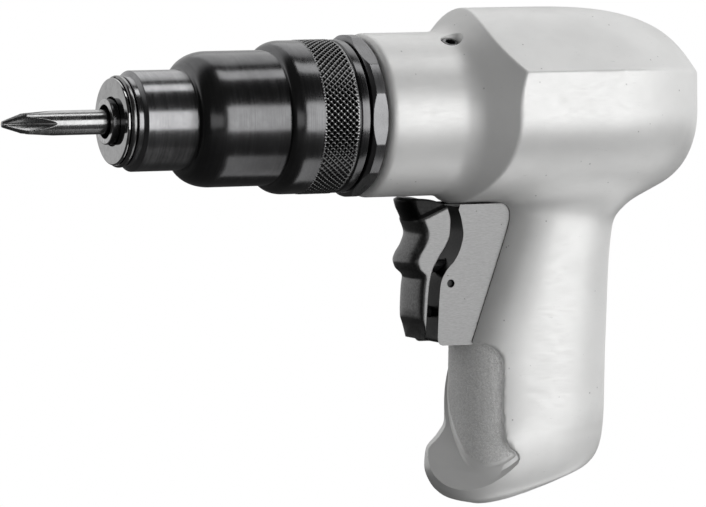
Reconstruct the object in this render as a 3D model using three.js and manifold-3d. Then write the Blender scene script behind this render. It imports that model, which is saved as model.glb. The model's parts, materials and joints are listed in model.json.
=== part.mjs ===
// Pneumatic pistol-grip screwdriver, millimetres, +Z up, nose towards -X.
// Every piece is drawn in tool coordinates: x is the station along the spindle, y is across
// the tool, z is the height above the spindle axis. The group at the end moves that frame
// so that the origin lies in the middle of the grip.

import * as THREE from 'three';
import { mergeVertices } from 'three/addons/utils/BufferGeometryUtils.js';
import Module from 'manifold-3d';

const wasm = await Module();
wasm.setup();

// ---------- driving dimensions ----------

const GRIP_STATION = 121; // middle of the grip
const AXIS_HEIGHT = 66; // spindle axis above the middle of the grip
const GAP = 0.3; // clearance between pieces that touch

const BIT_TIP = -33.4;
const BIT_END = 16.8;
const BIT_FLATS = 6.35; // quarter-inch hexagon
const HOLDER_RADIUS = 6.5;
const HOLDER_FRONT = -4.1;
const HOLDER_LIP_RADIUS = 6.1;
const NOSE_FACE = -2.1;
const DISC_RADIUS = 11.6;
const BUSH_RADIUS = 10;
const RING_RADIUS = 12.6;
const NOSE_RADIUS = 13.5;
const MIDDLE_RADIUS = 18.25;
const KNURL_RADIUS = 20.85;
const HOUSING_START = NOSE_FACE + 3;
const HOUSING_END = 64.5;
const THREAD_RADIUS = 18.1; // adjusting thread between gear case and clutch housing
const NUT_START = 65.1;
const NUT_END = 69.5;
const NUT_RADIUS = 21.9;

const BODY_START = 70.2;
const BODY_RADIUS = 22.25;
const BODY_BORE = 19.5;
const BORE_END = 150;
const FLARE_FILLET = 9;
const FLARE_OFFSET = 72.6; // the 45 degree flare has radius = station - FLARE_OFFSET
const HOOD_TAPER_START = 120;
const HOOD_END = 169.4;
const HOOD_HALF_WIDTH = 31.5;
const CREASE_HALF_WIDTH = 31;
const CREASE_HEIGHT = 12.4;
const ROOF_RISE = 16.3;
const ROOF_ROUNDING = 20;
const HOOD_DEPTH = 24.5;

const MODULE = 0.8;
const SUN_TEETH = 12;
const PLANET_TEETH = 12;
const RING_TEETH = 36;
const PLANET_COUNT = 3;
const GEAR_START = 76;
const GEAR_END = 85;
const PRESSURE_ANGLE = THREE.MathUtils.degToRad(20);
const BACKLASH = 0.2;

const ROTOR_RADIUS = 13;
const ROTOR_START = 100;
const ROTOR_END = 140;
const VANE_COUNT = 5;
const VANE_THICKNESS = 1.5;
const VANE_ROOT = 7.2;
const CYLINDER_BORE = 14.8;
const CYLINDER_OFFSET = 1.6; // the cylinder bore lies this far below the rotor axis

const STEM_HEIGHT = -41.5; // throttle stem and valve axis
const STEM_RADIUS = 1.8;
const VALVE_BORE = 7.2;
const VALVE_BORE_END = 130.3;
const BLOCK_HALF_WIDTH = 7.4;
const PIN_END = 6.4; // the block's pin is sunk below both side faces

const INLET_TILT = THREE.MathUtils.degToRad(16.7);
const INLET_STATION = 113.5;
const INLET_BOTTOM = -104.4; // height of the grip's slanted end at the inlet axis
const EXHAUST_STATION = 129;

// ---------- solid helpers ----------

function closedGeometry(positions, indices) {
  const geometry = new THREE.BufferGeometry();
  geometry.setAttribute('position', new THREE.Float32BufferAttribute(positions, 3));
  geometry.setIndex(indices);
  return geometry;
}

function toManifold(source) {
  const bare = source.clone();
  bare.deleteAttribute('normal');
  bare.deleteAttribute('uv');
  const merged = mergeVertices(bare, 1e-4);
  const index = merged.index.array;
  const position = merged.attributes.position.array;
  const kept = [];
  for (let i = 0; i < index.length; i += 3) {
    const [a, b, c] = [index[i], index[i + 1], index[i + 2]];
    if (a !== b && b !== c && c !== a) {
      kept.push(a, b, c);
    }
  }
  if (signedVolume(position, kept) < 0) {
    kept.reverse();
  }
  const mesh = new wasm.Mesh({
    numProp: 3,
    vertProperties: Float32Array.from(position),
    triVerts: Uint32Array.from(kept),
  });
  return new wasm.Manifold(mesh);
}

function signedVolume(position, index) {
  const [a, b, c] = [new THREE.Vector3(), new THREE.Vector3(), new THREE.Vector3()];
  let sum = 0;
  for (let i = 0; i < index.length; i += 3) {
    a.fromArray(position, index[i] * 3);
    b.fromArray(position, index[i + 1] * 3);
    c.fromArray(position, index[i + 2] * 3);
    sum += a.dot(b.cross(c));
  }
  return sum;
}

function fromManifold(solid) {
  const mesh = solid.getMesh();
  return closedGeometry(Array.from(mesh.vertProperties), Array.from(mesh.triVerts));
}

const cut = (body, ...tools) => tools.reduce((left, tool) => left.subtract(tool), body);
const join = (body, ...others) => others.reduce((left, other) => left.add(other), body);

// A body turned about the spindle axis. The profile is a list of [station, radius],
// which starts and ends on the axis or closes on itself.
function revolve(profile, segments = 32) {
  const points = profile.map(([station, radius]) => new THREE.Vector2(radius, station));
  const geometry = new THREE.LatheGeometry(points, segments);
  geometry.rotateZ(-Math.PI / 2);
  return toManifold(geometry);
}

function tube(start, end, outer, inner, segments = 32) {
  return revolve([[start, inner], [start, outer], [end, outer], [end, inner], [start, inner]], segments);
}

function rod(start, end, radius, segments = 24) {
  return revolve([[start, 0], [start, radius], [end, radius], [end, 0]], segments);
}

// A prism along the spindle axis from an outline in the y-z plane.
function axialPrism(points, start, end) {
  const shape = new THREE.Shape(points);
  const geometry = new THREE.ExtrudeGeometry(shape, { depth: end - start, bevelEnabled: false });
  geometry.rotateZ(Math.PI / 2);
  geometry.rotateY(Math.PI / 2);
  geometry.translate(start, 0, 0);
  return toManifold(geometry);
}

// A prism across the tool from an outline of [station, height] points.
function sidePrism(points, halfWidth) {
  const shape = new THREE.Shape(points.map(([station, height]) => new THREE.Vector2(station, height)));
  const geometry = new THREE.ExtrudeGeometry(shape, { depth: 2 * halfWidth, bevelEnabled: false });
  geometry.rotateX(Math.PI / 2);
  geometry.translate(0, halfWidth, 0);
  return toManifold(geometry);
}

function box(low, high) {
  const size = high.map((value, i) => value - low[i]);
  const geometry = new THREE.BoxGeometry(...size);
  geometry.translate(...low.map((value, i) => value + size[i] / 2));
  return toManifold(geometry);
}

function polygonPoints(sides, apothem, turn = 0) {
  const radius = apothem / Math.cos(Math.PI / sides);
  return Array.from({ length: sides }, (_, i) => {
    const angle = turn + (2 * Math.PI * (i + 0.5)) / sides;
    return new THREE.Vector2(radius * Math.cos(angle), radius * Math.sin(angle));
  });
}

function hexPrism(start, end, flats, turn = 0) {
  return axialPrism(polygonPoints(6, flats / 2, turn), start, end);
}

// Joins rings of points, each ring one turn about the body, and closes both ends.
function loft(rings) {
  const count = rings[0].length;
  const positions = rings.flatMap((ring) => ring.flatMap((point) => point.toArray()));
  const indices = [];
  for (let row = 0; row < rings.length - 1; row += 1) {
    for (let i = 0; i < count; i += 1) {
      const next = (i + 1) % count;
      const [a, b] = [row * count + i, row * count + next];
      indices.push(a, b, b + count, a, b + count, a + count);
    }
  }
  [rings[0], rings.at(-1)].forEach((ring, end) => {
    const centre = ring.reduce((sum, point) => sum.add(point), new THREE.Vector3()).divideScalar(count);
    const hub = positions.length / 3;
    const base = end === 0 ? 0 : (rings.length - 1) * count;
    positions.push(...centre.toArray());
    for (let i = 0; i < count; i += 1) {
      const next = (i + 1) % count;
      const pair = end === 0 ? [base + next, base + i] : [base + i, base + next];
      indices.push(hub, ...pair);
    }
  });
  return toManifold(closedGeometry(positions, indices));
}

// A coil spring about the spindle axis, round wire.
function coilSpring(start, end, radius, wire, turns, sides = 5) {
  class Helix extends THREE.Curve {
    getPoint(t) {
      const angle = 2 * Math.PI * turns * t;
      const station = start + wire / 2 + (end - start - wire) * t;
      return new THREE.Vector3(station, radius * Math.cos(angle), radius * Math.sin(angle));
    }
  }
  const section = new THREE.Shape();
  section.setFromPoints(Array.from({ length: sides }, (_, i) => {
    const angle = (2 * Math.PI * i) / sides;
    return new THREE.Vector2((wire / 2) * Math.cos(angle), (wire / 2) * Math.sin(angle));
  }));
  const geometry = new THREE.ExtrudeGeometry(section, { steps: turns * 12, extrudePath: new Helix() });
  return toManifold(geometry);
}

// ---------- materials ----------

const FINISHES = {
  castAluminium: { color: 0xd9d9d6, roughness: 0.35, metalness: 0.9 },
  blackSteel: { color: 0x1c1c1e, roughness: 0.32, metalness: 0.85 },
  polishedSteel: { color: 0xc4c4c6, roughness: 0.18, metalness: 1.0 },
  toolSteel: { color: 0x8f9093, roughness: 0.35, metalness: 1.0 },
  bronze: { color: 0xa8804a, roughness: 0.4, metalness: 1.0 },
  greyTrigger: { color: 0x5c5d60, roughness: 0.45, metalness: 0.6 },
  phenolic: { color: 0x7a4a26, roughness: 0.6, metalness: 0.0 },
  rubber: { color: 0x161616, roughness: 0.8, metalness: 0.0 },
};

const tool = new THREE.Group();

function addPiece(name, solid, finish, parent = tool) {
  const mesh = new THREE.Mesh(fromManifold(solid), new THREE.MeshStandardMaterial(FINISHES[finish]));
  mesh.name = name;
  parent.add(mesh);
  return mesh;
}

// ---------- bit and bit holder ----------

function screwdriverBit() {
  const tipCone = 5.7;
  const roundEnd = -2.8;
  const shank = 3.3;
  const corner = BIT_FLATS / 2 / Math.cos(Math.PI / 6);
  const groove = BIT_END - 9.5;
  const turned = revolve([
    [BIT_TIP, 0],
    [BIT_TIP, 0.8],
    [BIT_TIP + tipCone, 2.95],
    [BIT_TIP + tipCone + 1, shank],
    [roundEnd, shank],
    [roundEnd + 1.2, corner],
    [groove - 1.4, corner],
    [groove - 0.8, 2.85],
    [groove + 0.8, 2.85],
    [groove + 1.4, corner],
    [BIT_END - 0.8, corner],
    [BIT_END, 3],
    [BIT_END, 0],
  ], 24);
  const hexagon = hexPrism(BIT_TIP - 1, BIT_END + 1, BIT_FLATS);
  const nose = rod(BIT_TIP - 1, roundEnd + 0.2, shank + 0.2, 24);
  const bit = turned.intersect(hexagon.add(nose));
  return cut(bit, ...[0, 1, 2, 3].map(fluteCutter));
}

// The grinding wheel that leaves one of the four flutes of a cross-point bit.
function fluteCutter(index) {
  const wheelRadius = 42;
  const depth = 2.35;
  const halfAngle = THREE.MathUtils.degToRad(43);
  const reach = 3.4;
  const rim = reach * Math.tan(halfAngle);
  const profile = [
    new THREE.Vector2(0, -rim),
    new THREE.Vector2(wheelRadius - reach, -rim),
    new THREE.Vector2(wheelRadius, 0),
    new THREE.Vector2(wheelRadius - reach, rim),
    new THREE.Vector2(0, rim),
  ];
  const geometry = new THREE.LatheGeometry(profile, 60);
  geometry.translate(BIT_TIP + 0.9, 0, wheelRadius + 3.2 - depth);
  geometry.rotateX((index * Math.PI) / 2);
  return toManifold(geometry);
}

function bitHolder() {
  const end = 32.4;
  const flangeRadius = 13;
  const outer = revolve([
    [HOLDER_FRONT, 0],
    [HOLDER_FRONT, HOLDER_LIP_RADIUS - 0.3],
    [HOLDER_FRONT + 0.3, HOLDER_LIP_RADIUS],
    [0, HOLDER_LIP_RADIUS],
    [0, HOLDER_RADIUS],
    [26.4, HOLDER_RADIUS],
    [26.4, flangeRadius],
    [29.6, flangeRadius],
    [29.6, 0],
  ]);
  const teeth = clawTeeth(29.4, end, 0, 6.6, flangeRadius);
  const mouth = revolve([[HOLDER_FRONT - 1, 0], [HOLDER_FRONT - 1, 4.6], [HOLDER_FRONT + 3.2, 4.3],
    [HOLDER_FRONT + 3.2, 0]]);
  const socket = hexPrism(HOLDER_FRONT - 1, BIT_END + GAP, BIT_FLATS + 0.16);
  const ballHole = rod(0, 8, 1.7, 16).rotate([0, 0, 90]).translate([6.5, 2.5, 0]);
  const pilot = rod(22, 40, 4.2);
  return cut(join(outer, ...teeth), mouth, socket, ballHole, pilot);
}

// Four claw teeth, each a little under an eighth of a turn wide.
function clawTeeth(start, end, firstAngle, inner, outer) {
  const half = Math.PI / 8 - 0.03;
  return [0, 1, 2, 3].map((index) => {
    const centre = firstAngle + (index * Math.PI) / 2;
    const points = [];
    for (let i = 0; i <= 4; i += 1) {
      const angle = centre - half + (half * i) / 2;
      points.push(new THREE.Vector2(outer * Math.cos(angle), outer * Math.sin(angle)));
    }
    for (let i = 4; i >= 0; i -= 1) {
      const angle = centre - half + (half * i) / 2;
      points.push(new THREE.Vector2(inner * Math.cos(angle), inner * Math.sin(angle)));
    }
    return axialPrism(points, start, end);
  });
}

function clutchJaw() {
  const body = tube(33, 38.2, 13, 4.5);
  const teeth = clawTeeth(29.9, 33.2, Math.PI / 4, 6.6, 13);
  const hexHole = hexPrism(28, 40, 11.4);
  return cut(join(body, ...teeth), hexHole);
}

function detentBall() {
  const radius = 1.5;
  const geometry = new THREE.SphereGeometry(radius, 12, 8);
  geometry.translate(6.5, BIT_FLATS / 2 + 0.1 + radius, 0);
  return toManifold(geometry);
}

function splitRing(start, end, outer, inner, split) {
  const slot = box([start - 1, -split / 2, inner - 1], [end + 1, split / 2, outer + 1]);
  return cut(tube(start, end, outer, inner), slot);
}

// ---------- nose and clutch housing ----------

function noseBushing() {
  return revolve([
    [NOSE_FACE, HOLDER_RADIUS + 0.1],
    [NOSE_FACE, DISC_RADIUS - 0.5],
    [NOSE_FACE + 0.35, DISC_RADIUS],
    [NOSE_FACE + 0.75, DISC_RADIUS],
    [NOSE_FACE + 0.75, BUSH_RADIUS],
    [17, BUSH_RADIUS],
    [17, HOLDER_RADIUS + 0.1],
    [9, HOLDER_RADIUS + 0.1],
    [9, 8.2],
    [2, 8.2],
    [2, HOLDER_RADIUS + 0.1],
    [NOSE_FACE, HOLDER_RADIUS + 0.1],
  ]);
}

// A rounded shoulder that rises from one cylinder to the next.
function shoulder(start, end, low, high, steps = 4) {
  return Array.from({ length: steps + 1 }, (_, i) => {
    const angle = (Math.PI / 2) * (i / steps);
    return [end - (end - start) * Math.cos(angle), low + (high - low) * Math.sin(angle)];
  });
}

function clutchHousing() {
  const collarRadius = KNURL_RADIUS - 0.15;
  return revolve([
    [HOUSING_START, BUSH_RADIUS + GAP],
    [HOUSING_START, 12.1],
    [HOUSING_START + 1.4, 12.1],
    [HOUSING_START + 2.2, NOSE_RADIUS],
    ...shoulder(17.6, 25.5, NOSE_RADIUS, MIDDLE_RADIUS),
    ...shoulder(42.3, 46.8, MIDDLE_RADIUS, collarRadius),
    [51, collarRadius],
    [51.4, KNURL_RADIUS],
    [61.1, KNURL_RADIUS],
    [61.6, collarRadius - 0.5],
    [62.1, collarRadius],
    [HOUSING_END - 0.5, collarRadius],
    [HOUSING_END, collarRadius - 0.5],
    [HOUSING_END, THREAD_RADIUS + GAP],
    [45.5, THREAD_RADIUS + GAP],
    [43, 15.4],
    [25, 15.4],
    [25, 9],
    [18, 9],
    [17.3, BUSH_RADIUS + GAP],
    [HOUSING_START, BUSH_RADIUS + GAP],
  ], 36);
}

function jamNut() {
  const flatHalfAngle = THREE.MathUtils.degToRad(18);
  const apothem = NUT_RADIUS * Math.cos(flatHalfAngle);
  const turned = revolve([
    [NUT_START, THREAD_RADIUS + GAP],
    [NUT_START, NUT_RADIUS - 0.9],
    [NUT_START + 0.9, NUT_RADIUS],
    [NUT_END - 0.9, NUT_RADIUS],
    [NUT_END, NUT_RADIUS - 0.9],
    [NUT_END, THREAD_RADIUS + GAP],
    [NUT_START, THREAD_RADIUS + GAP],
  ], 45);
  return turned.intersect(hexPrism(NUT_START - 1, NUT_END + 1, 2 * apothem));
}

// ---------- gear train ----------

const involute = (angle) => Math.tan(angle) - angle;

// Half the angle that a tooth covers at a radius, for an involute tooth.
function toothHalfAngle(teeth, radius, thinning) {
  const pitchRadius = (MODULE * teeth) / 2;
  const baseRadius = pitchRadius * Math.cos(PRESSURE_ANGLE);
  const thickness = (Math.PI * MODULE) / 2 - thinning;
  const pressure = Math.acos(Math.min(1, baseRadius / Math.max(radius, baseRadius)));
  return thickness / (2 * pitchRadius) + involute(PRESSURE_ANGLE) - involute(pressure);
}

// Closed outline of a gear, each flank through the given radii.
function gearOutline(teeth, radii, thinning, firstAngle) {
  const points = [];
  for (let tooth = 0; tooth < teeth; tooth += 1) {
    const centre = firstAngle + (2 * Math.PI * tooth) / teeth;
    const flank = radii.map((radius) => [radius, toothHalfAngle(teeth, radius, thinning)]);
    points.push(...flank.map(([radius, half]) => [radius, centre - half]));
    points.push(...flank.reverse().map(([radius, half]) => [radius, centre + half]));
  }
  return points.map(([radius, angle]) => (
    new THREE.Vector2(radius * Math.cos(angle), radius * Math.sin(angle))));
}

function externalGear(teeth, firstAngle, start, end, bore) {
  const pitchRadius = (MODULE * teeth) / 2;
  const radii = [-1.1, 0.2, 0.8].map((height) => pitchRadius + height * MODULE);
  const outline = gearOutline(teeth, radii, BACKLASH, firstAngle);
  return cut(axialPrism(outline, start, end), rod(start - 1, end + 1, bore, 16));
}

// The ring gear's tooth space is the outline of an external gear made wider by the backlash.
function ringGear() {
  const pitchRadius = (MODULE * RING_TEETH) / 2;
  const radii = [-0.8, 1.1].map((height) => pitchRadius + height * MODULE);
  const space = gearOutline(RING_TEETH, radii, -BACKLASH, Math.PI / RING_TEETH);
  return cut(rod(74, 90, 16.3, 36), axialPrism(space, 73, 91));
}

function planetCentre(index) {
  const distance = (MODULE * (SUN_TEETH + PLANET_TEETH)) / 2;
  const angle = Math.PI / 2 + (2 * Math.PI * index) / PLANET_COUNT;
  return [0, distance * Math.cos(angle), distance * Math.sin(angle)];
}

function gearCase() {
  return revolve([
    [51, 8.8],
    [51, THREAD_RADIUS - 0.6],
    [51.6, THREAD_RADIUS],
    [72.3, THREAD_RADIUS],
    [72.3, BODY_BORE - GAP],
    [91.5, BODY_BORE - GAP],
    [91.5, 16.6],
    [68.2, 16.6],
    [68.2, 13.3],
    [57.5, 13.3],
    [57.5, 8.8],
    [51, 8.8],
  ]);
}

function planetCarrier() {
  const pilot = rod(23.5, 33, 4);
  const driveHex = hexPrism(32.8, 50.5, 11);
  const journal = rod(50.4, 69.2, 6);
  const disc = rod(69, 74, 15.4, 32);
  const pinHoles = Array.from({ length: PLANET_COUNT }, (_, i) => (
    rod(68, 75, 2.1, 16).translate(planetCentre(i))));
  return cut(join(pilot, driveHex, journal, disc), ...pinHoles);
}

// ---------- vane motor ----------

function vaneSlot(index, extra) {
  const half = VANE_THICKNESS / 2 + extra;
  const slab = box([ROTOR_START - 5, -half, VANE_ROOT - extra * 4], [ROTOR_END + 5, half, 30]);
  return slab.rotate([(360 * index) / VANE_COUNT, 0, 0]);
}

function rotor() {
  const body = revolve([
    [88.6, 0],
    [88.6, 4],
    [ROTOR_START, 4],
    [ROTOR_START, ROTOR_RADIUS],
    [ROTOR_END, ROTOR_RADIUS],
    [ROTOR_END, 4],
    [147.5, 4],
    [147.5, 0],
  ]);
  const nose = rod(75, 89, 2.4, 16);
  const slots = Array.from({ length: VANE_COUNT }, (_, i) => vaneSlot(i, 0.15));
  return join(cut(body, ...slots), nose);
}

function vane(index) {
  const half = VANE_THICKNESS / 2;
  const blade = box([ROTOR_START + 0.1, -half, VANE_ROOT], [ROTOR_END - 0.1, half, ROTOR_RADIUS - 0.1]);
  return blade.rotate([(360 * index) / VANE_COUNT, 0, 0]);
}

const DOWEL_HEIGHT = 16.6;

function dowelHole(start, end) {
  return rod(start, end, 1.4, 12).translate([0, 0, DOWEL_HEIGHT]);
}

function motorCylinder() {
  const shell = rod(99.3, 140.7, BODY_BORE - GAP, 40);
  const bore = rod(98, 142, CYLINDER_BORE, 40).translate([0, 0, -CYLINDER_OFFSET]);
  const ports = [-1, 1].map((side) => (
    box([114, side * 8 - 2, -25], [126, side * 8 + 2, 0])));
  return cut(shell, bore, dowelHole(98, 142), ...ports);
}

function endPlate(start, end) {
  return cut(tube(start, end, BODY_BORE - GAP, 8.2), dowelHole(start - 1, end + 1));
}

// A sealed ball bearing, drawn as one ring with its shields set back.
function ballBearing(start, end, outer, inner) {
  const shield = 0.4;
  const land = (outer - inner) / 4;
  return revolve([
    [start, inner],
    [start + shield, inner + land],
    [start + shield, outer - land],
    [start, outer],
    [end, outer],
    [end, inner],
    [start, inner],
  ], 20);
}

// ---------- handle casting ----------

const flareStart = BODY_RADIUS + FLARE_OFFSET - FLARE_FILLET * Math.tan(Math.PI / 8);

// Station at which the turned flare in front of the hood has a given radius.
function flareStation(radius) {
  const filletEnd = BODY_RADIUS + FLARE_FILLET * (1 - Math.SQRT1_2);
  if (radius >= filletEnd) {
    return radius + FLARE_OFFSET;
  }
  const drop = BODY_RADIUS + FLARE_FILLET - radius;
  return flareStart + Math.sqrt(FLARE_FILLET ** 2 - drop ** 2);
}

function flareRadius(station) {
  const filletEnd = flareStart + FLARE_FILLET * Math.SQRT1_2;
  if (station >= filletEnd) {
    return station - FLARE_OFFSET;
  }
  const run = Math.max(0, station - flareStart);
  return BODY_RADIUS + FLARE_FILLET - Math.sqrt(FLARE_FILLET ** 2 - run ** 2);
}

// How much of a size is left at a station towards the hood's rounded rear.
function rearTaper(station, sharpness, root) {
  const t = THREE.MathUtils.clamp((station - HOOD_TAPER_START) / (HOOD_END - HOOD_TAPER_START), 0, 1);
  return (1 - t ** sharpness) ** (1 / root);
}

// Half outline of the hood's section, from the ridge over the crease to the keel: [y, z].
function hoodHalfSection(station) {
  const width = rearTaper(station, 3.3, 2.2);
  const rise = ROOF_RISE * rearTaper(station, 2.8, 2);
  const depth = HOOD_DEPTH * rearTaper(station, 5, 2.6);
  const crease = CREASE_HEIGHT * width ** 0.25;
  const slope = (v) => Math.hypot(v, ROOF_ROUNDING) - ROOF_ROUNDING;
  const points = [];
  const roofSteps = 7;
  for (let i = 0; i <= roofSteps; i += 1) {
    const v = (CREASE_HALF_WIDTH * i) / roofSteps;
    points.push([v * width, crease + rise * (1 - slope(v) / slope(CREASE_HALF_WIDTH))]);
  }
  const keelSteps = 9;
  for (let i = 0; i <= keelSteps; i += 1) {
    const angle = (Math.PI / 2) * (i / keelSteps);
    points.push([HOOD_HALF_WIDTH * width * Math.cos(angle), -depth * Math.sin(angle)]);
  }
  return points;
}

// One ring of the casting's upper body. Rows up to flareRows lie on the turned front,
// the next one is the sharp edge where the front meets the hood, and the rest are the hood.
function upperBodyRings() {
  const flareRows = 4;
  const hoodStations = 11;
  const edge = hoodHalfSection(HOOD_TAPER_START);
  const fullRing = (half) => {
    const back = half.slice(1, -1).reverse().map((point) => new THREE.Vector3(point.x, -point.y, point.z));
    return [...half, ...back];
  };
  const turnedPoint = ([y, z], station, radius) => {
    const scale = radius / Math.hypot(y, z);
    return new THREE.Vector3(station, y * scale, z * scale);
  };
  const lip = [[BODY_START, BODY_RADIUS - 1.3], [BODY_START + 0.4, BODY_RADIUS - 0.4],
    [BODY_START + 1.4, BODY_RADIUS], [flareStart, BODY_RADIUS]];
  const rings = lip.map(([station, radius]) => (
    fullRing(edge.map((point) => turnedPoint(point, station, radius)))));
  for (let row = 1; row <= flareRows; row += 1) {
    rings.push(fullRing(edge.map((point) => {
      const edgeStation = flareStation(Math.hypot(...point));
      const station = flareStart + ((edgeStation - flareStart) * row) / flareRows;
      return turnedPoint(point, station, flareRadius(station));
    })));
  }
  for (let row = 1; row <= hoodStations; row += 1) {
    const t = Math.sin((Math.PI / 2) * (row / hoodStations));
    const station = HOOD_TAPER_START + (HOOD_END - 0.2 - HOOD_TAPER_START) * t;
    rings.push(fullRing(hoodHalfSection(station).map(([y, z]) => new THREE.Vector3(station, y, z))));
  }
  return rings;
}

// The grip's rings: [front station, front height, back station, back height, half width].
const GRIP_RINGS = [
  [104, -5, 156, -5, 17],
  [108, -18, 153.5, -18, 17],
  [112.2, -24.5, 148.5, -25, 16.6],
  [110.6, -31, 145, -31, 16],
  [106.4, -43, 143.8, -43, 16],
  [100.6, -59, 143.4, -59, 16],
  [98.7, -65, 143.2, -65, 16],
  [98.4, -75, 143, -74, 16],
  [98.4, -84.5, 142.9, -80, 16],
  [96.2, -88.6, 142.8, -83.8, 16],
  [92.6, -92.6, 142.6, -87.2, 15.9],
  [92.1, -97.2, 142.1, -90.4, 15.6],
  [93.8, -101.8, 140.8, -93.8, 15],
  [98.4, -105.7, 138, -96.6, 13.8],
  [104.5, -107.1, 133.5, -98.4, 11],
];

// What is left of the grip inside the cast finger flute, in rings of the same kind.
const SHAFT_RINGS = [
  [106.4, -43, 143.8, -43, 15.3],
  [100.9, -59, 143.2, -59, 15.3],
  [99.5, -65, 143, -65, 15.3],
  [99.4, -75, 142.8, -74, 15.3],
  [99.5, -84.5, 142.6, -80, 15.3],
  [99.5, -96.6, 141.8, -89.5, 15.3],
  [99.5, -110, 139, -110, 15.3],
];

const FLUTE_TOP = -62.3;
const FLUTE_BACK = 107.6;
const FLUTE_CORNER = 6;
const SHELF_POINT = new THREE.Vector3(98.3, 0.5, -89.7); // the flat facet on top of the toe
const SHELF_NORMAL = new THREE.Vector3(-0.57, -0.641, 0.514).normalize();

// Side outline of the finger flute, which widens just above the toe.
function fluteOutline() {
  const steps = 4;
  const corner = Array.from({ length: steps + 1 }, (_, i) => {
    const angle = (Math.PI / 2) * (i / steps);
    const station = FLUTE_BACK - FLUTE_CORNER * (1 - Math.sin(angle));
    return [station, FLUTE_TOP - FLUTE_CORNER * (1 - Math.cos(angle))];
  });
  const toe = [[0, -88], [2.1, -91], [4.2, -94], [2.1, -97]].map(([bulge, height]) => (
    [FLUTE_BACK + bulge, height]));
  return [[80, FLUTE_TOP], ...corner, ...toe, [106, -103], [96, -112], [80, -112]];
}

// A large block whose face passes through a point, lying on the side the normal points to.
function halfSpace(point, normal, size = 60) {
  const geometry = new THREE.BoxGeometry(2 * size, 2 * size, size);
  geometry.translate(0, 0, size / 2);
  geometry.applyQuaternion(new THREE.Quaternion().setFromUnitVectors(new THREE.Vector3(0, 0, 1), normal));
  geometry.translate(...point.toArray());
  return toManifold(geometry);
}

function gripRing([frontX, frontZ, backX, backZ, halfWidth], count = 28) {
  const power = 2 / 2.5;
  const bend = (value) => Math.sign(value) * Math.abs(value) ** power;
  return Array.from({ length: count }, (_, i) => {
    const angle = (2 * Math.PI * i) / count;
    const along = (1 + bend(Math.cos(angle))) / 2;
    const x = frontX + (backX - frontX) * along;
    const z = frontZ + (backZ - frontZ) * along;
    return new THREE.Vector3(x, -halfWidth * bend(Math.sin(angle)), z);
  });
}

// Turns a body made along +X to point up the grip from its slanted end.
function alongInlet(solid, station, height) {
  const degrees = -90 - THREE.MathUtils.radToDeg(INLET_TILT);
  return solid.rotate([0, degrees, 0]).translate([station, 0, height]);
}

// A round passage between two points of the middle plane, [station, height] each.
function passage(from, to, radius, segments = 20) {
  const [run, rise] = [to[0] - from[0], to[1] - from[1]];
  const degrees = -THREE.MathUtils.radToDeg(Math.atan2(rise, run));
  return rod(0, Math.hypot(run, rise), radius, segments).rotate([0, degrees, 0])
    .translate([from[0], 0, from[1]]);
}

const exhaustBottom = INLET_BOTTOM + (EXHAUST_STATION - INLET_STATION) * Math.tan(INLET_TILT);

function handleHousing() {
  const upper = loft(upperBodyRings());
  const shaft = loft(SHAFT_RINGS.map((ring) => gripRing(ring)));
  const flute = cut(sidePrism(fluteOutline(), 30).intersect(halfSpace(SHELF_POINT, SHELF_NORMAL)), shaft);
  const grip = cut(loft(GRIP_RINGS.map((ring) => gripRing(ring))), flute);
  const motorBore = rod(BODY_START - 1, BORE_END, BODY_BORE, 40);
  const valveBore = rod(90, VALVE_BORE_END, VALVE_BORE, 24).translate([0, 0, STEM_HEIGHT]);
  const airRise = passage([117.8, STEM_HEIGHT], [120.5, -12], 2.1);
  const inletSeat = alongInlet(rod(-5, 13.3, 9.2), INLET_STATION, INLET_BOTTOM);
  const inletPassage = passage([111, -93], [126, STEM_HEIGHT], 3.8);
  const exhaustSeat = alongInlet(rod(-5, 7.3, 4.4, 24), EXHAUST_STATION, exhaustBottom);
  const exhaustPassage = passage([129, -95], [137.4, -60], 2.6);
  const exhaustRise = passage([137.4, -60.5], [138.4, -12], 2.6);
  const blockPocket = sidePrism(blockOutline(GAP), BLOCK_HALF_WIDTH + GAP);
  const plugSeat = atPlug(rod(-2, 3.6, PLUG_RADIUS + GAP));
  return cut(join(upper, grip), motorBore, valveBore, airRise, inletSeat, inletPassage,
    exhaustSeat, exhaustPassage, exhaustRise, blockPocket, plugSeat);
}

// ---------- trigger group ----------

const BLOCK_FRONT = [
  [97.4, -25.2], [98.4, -28.5], [99, -32.5], [98.3, -36], [96.3, -40], [93.6, -43],
  [92.2, -46], [91.7, -51], [91.3, -60.3],
];

function blockOutline(clearance) {
  const rear = [[103.1 + clearance, -62.2 - clearance], [113.7 + clearance, -25.2 + 3 * clearance]];
  return [...BLOCK_FRONT, [92.3, -62.2 - clearance], ...rear];
}

// Lays a body made along +X across the trigger block, where its retaining pin goes.
function acrossBlock(solid) {
  return solid.rotate([0, 0, 90]).translate([94.6, 0, -45.9]);
}

function triggerBlock() {
  const body = sidePrism(blockOutline(0), BLOCK_HALF_WIDTH);
  const stemHole = rod(90, 120, STEM_RADIUS + 0.15, 16).translate([0, 0, STEM_HEIGHT]);
  const guideHole = rod(90, 120, 1.65, 16).translate([0, 0, -54]);
  const pinHole = acrossBlock(rod(-12, 12, 1.15, 12));
  return cut(body, stemHole, guideHole, pinHole);
}

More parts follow.
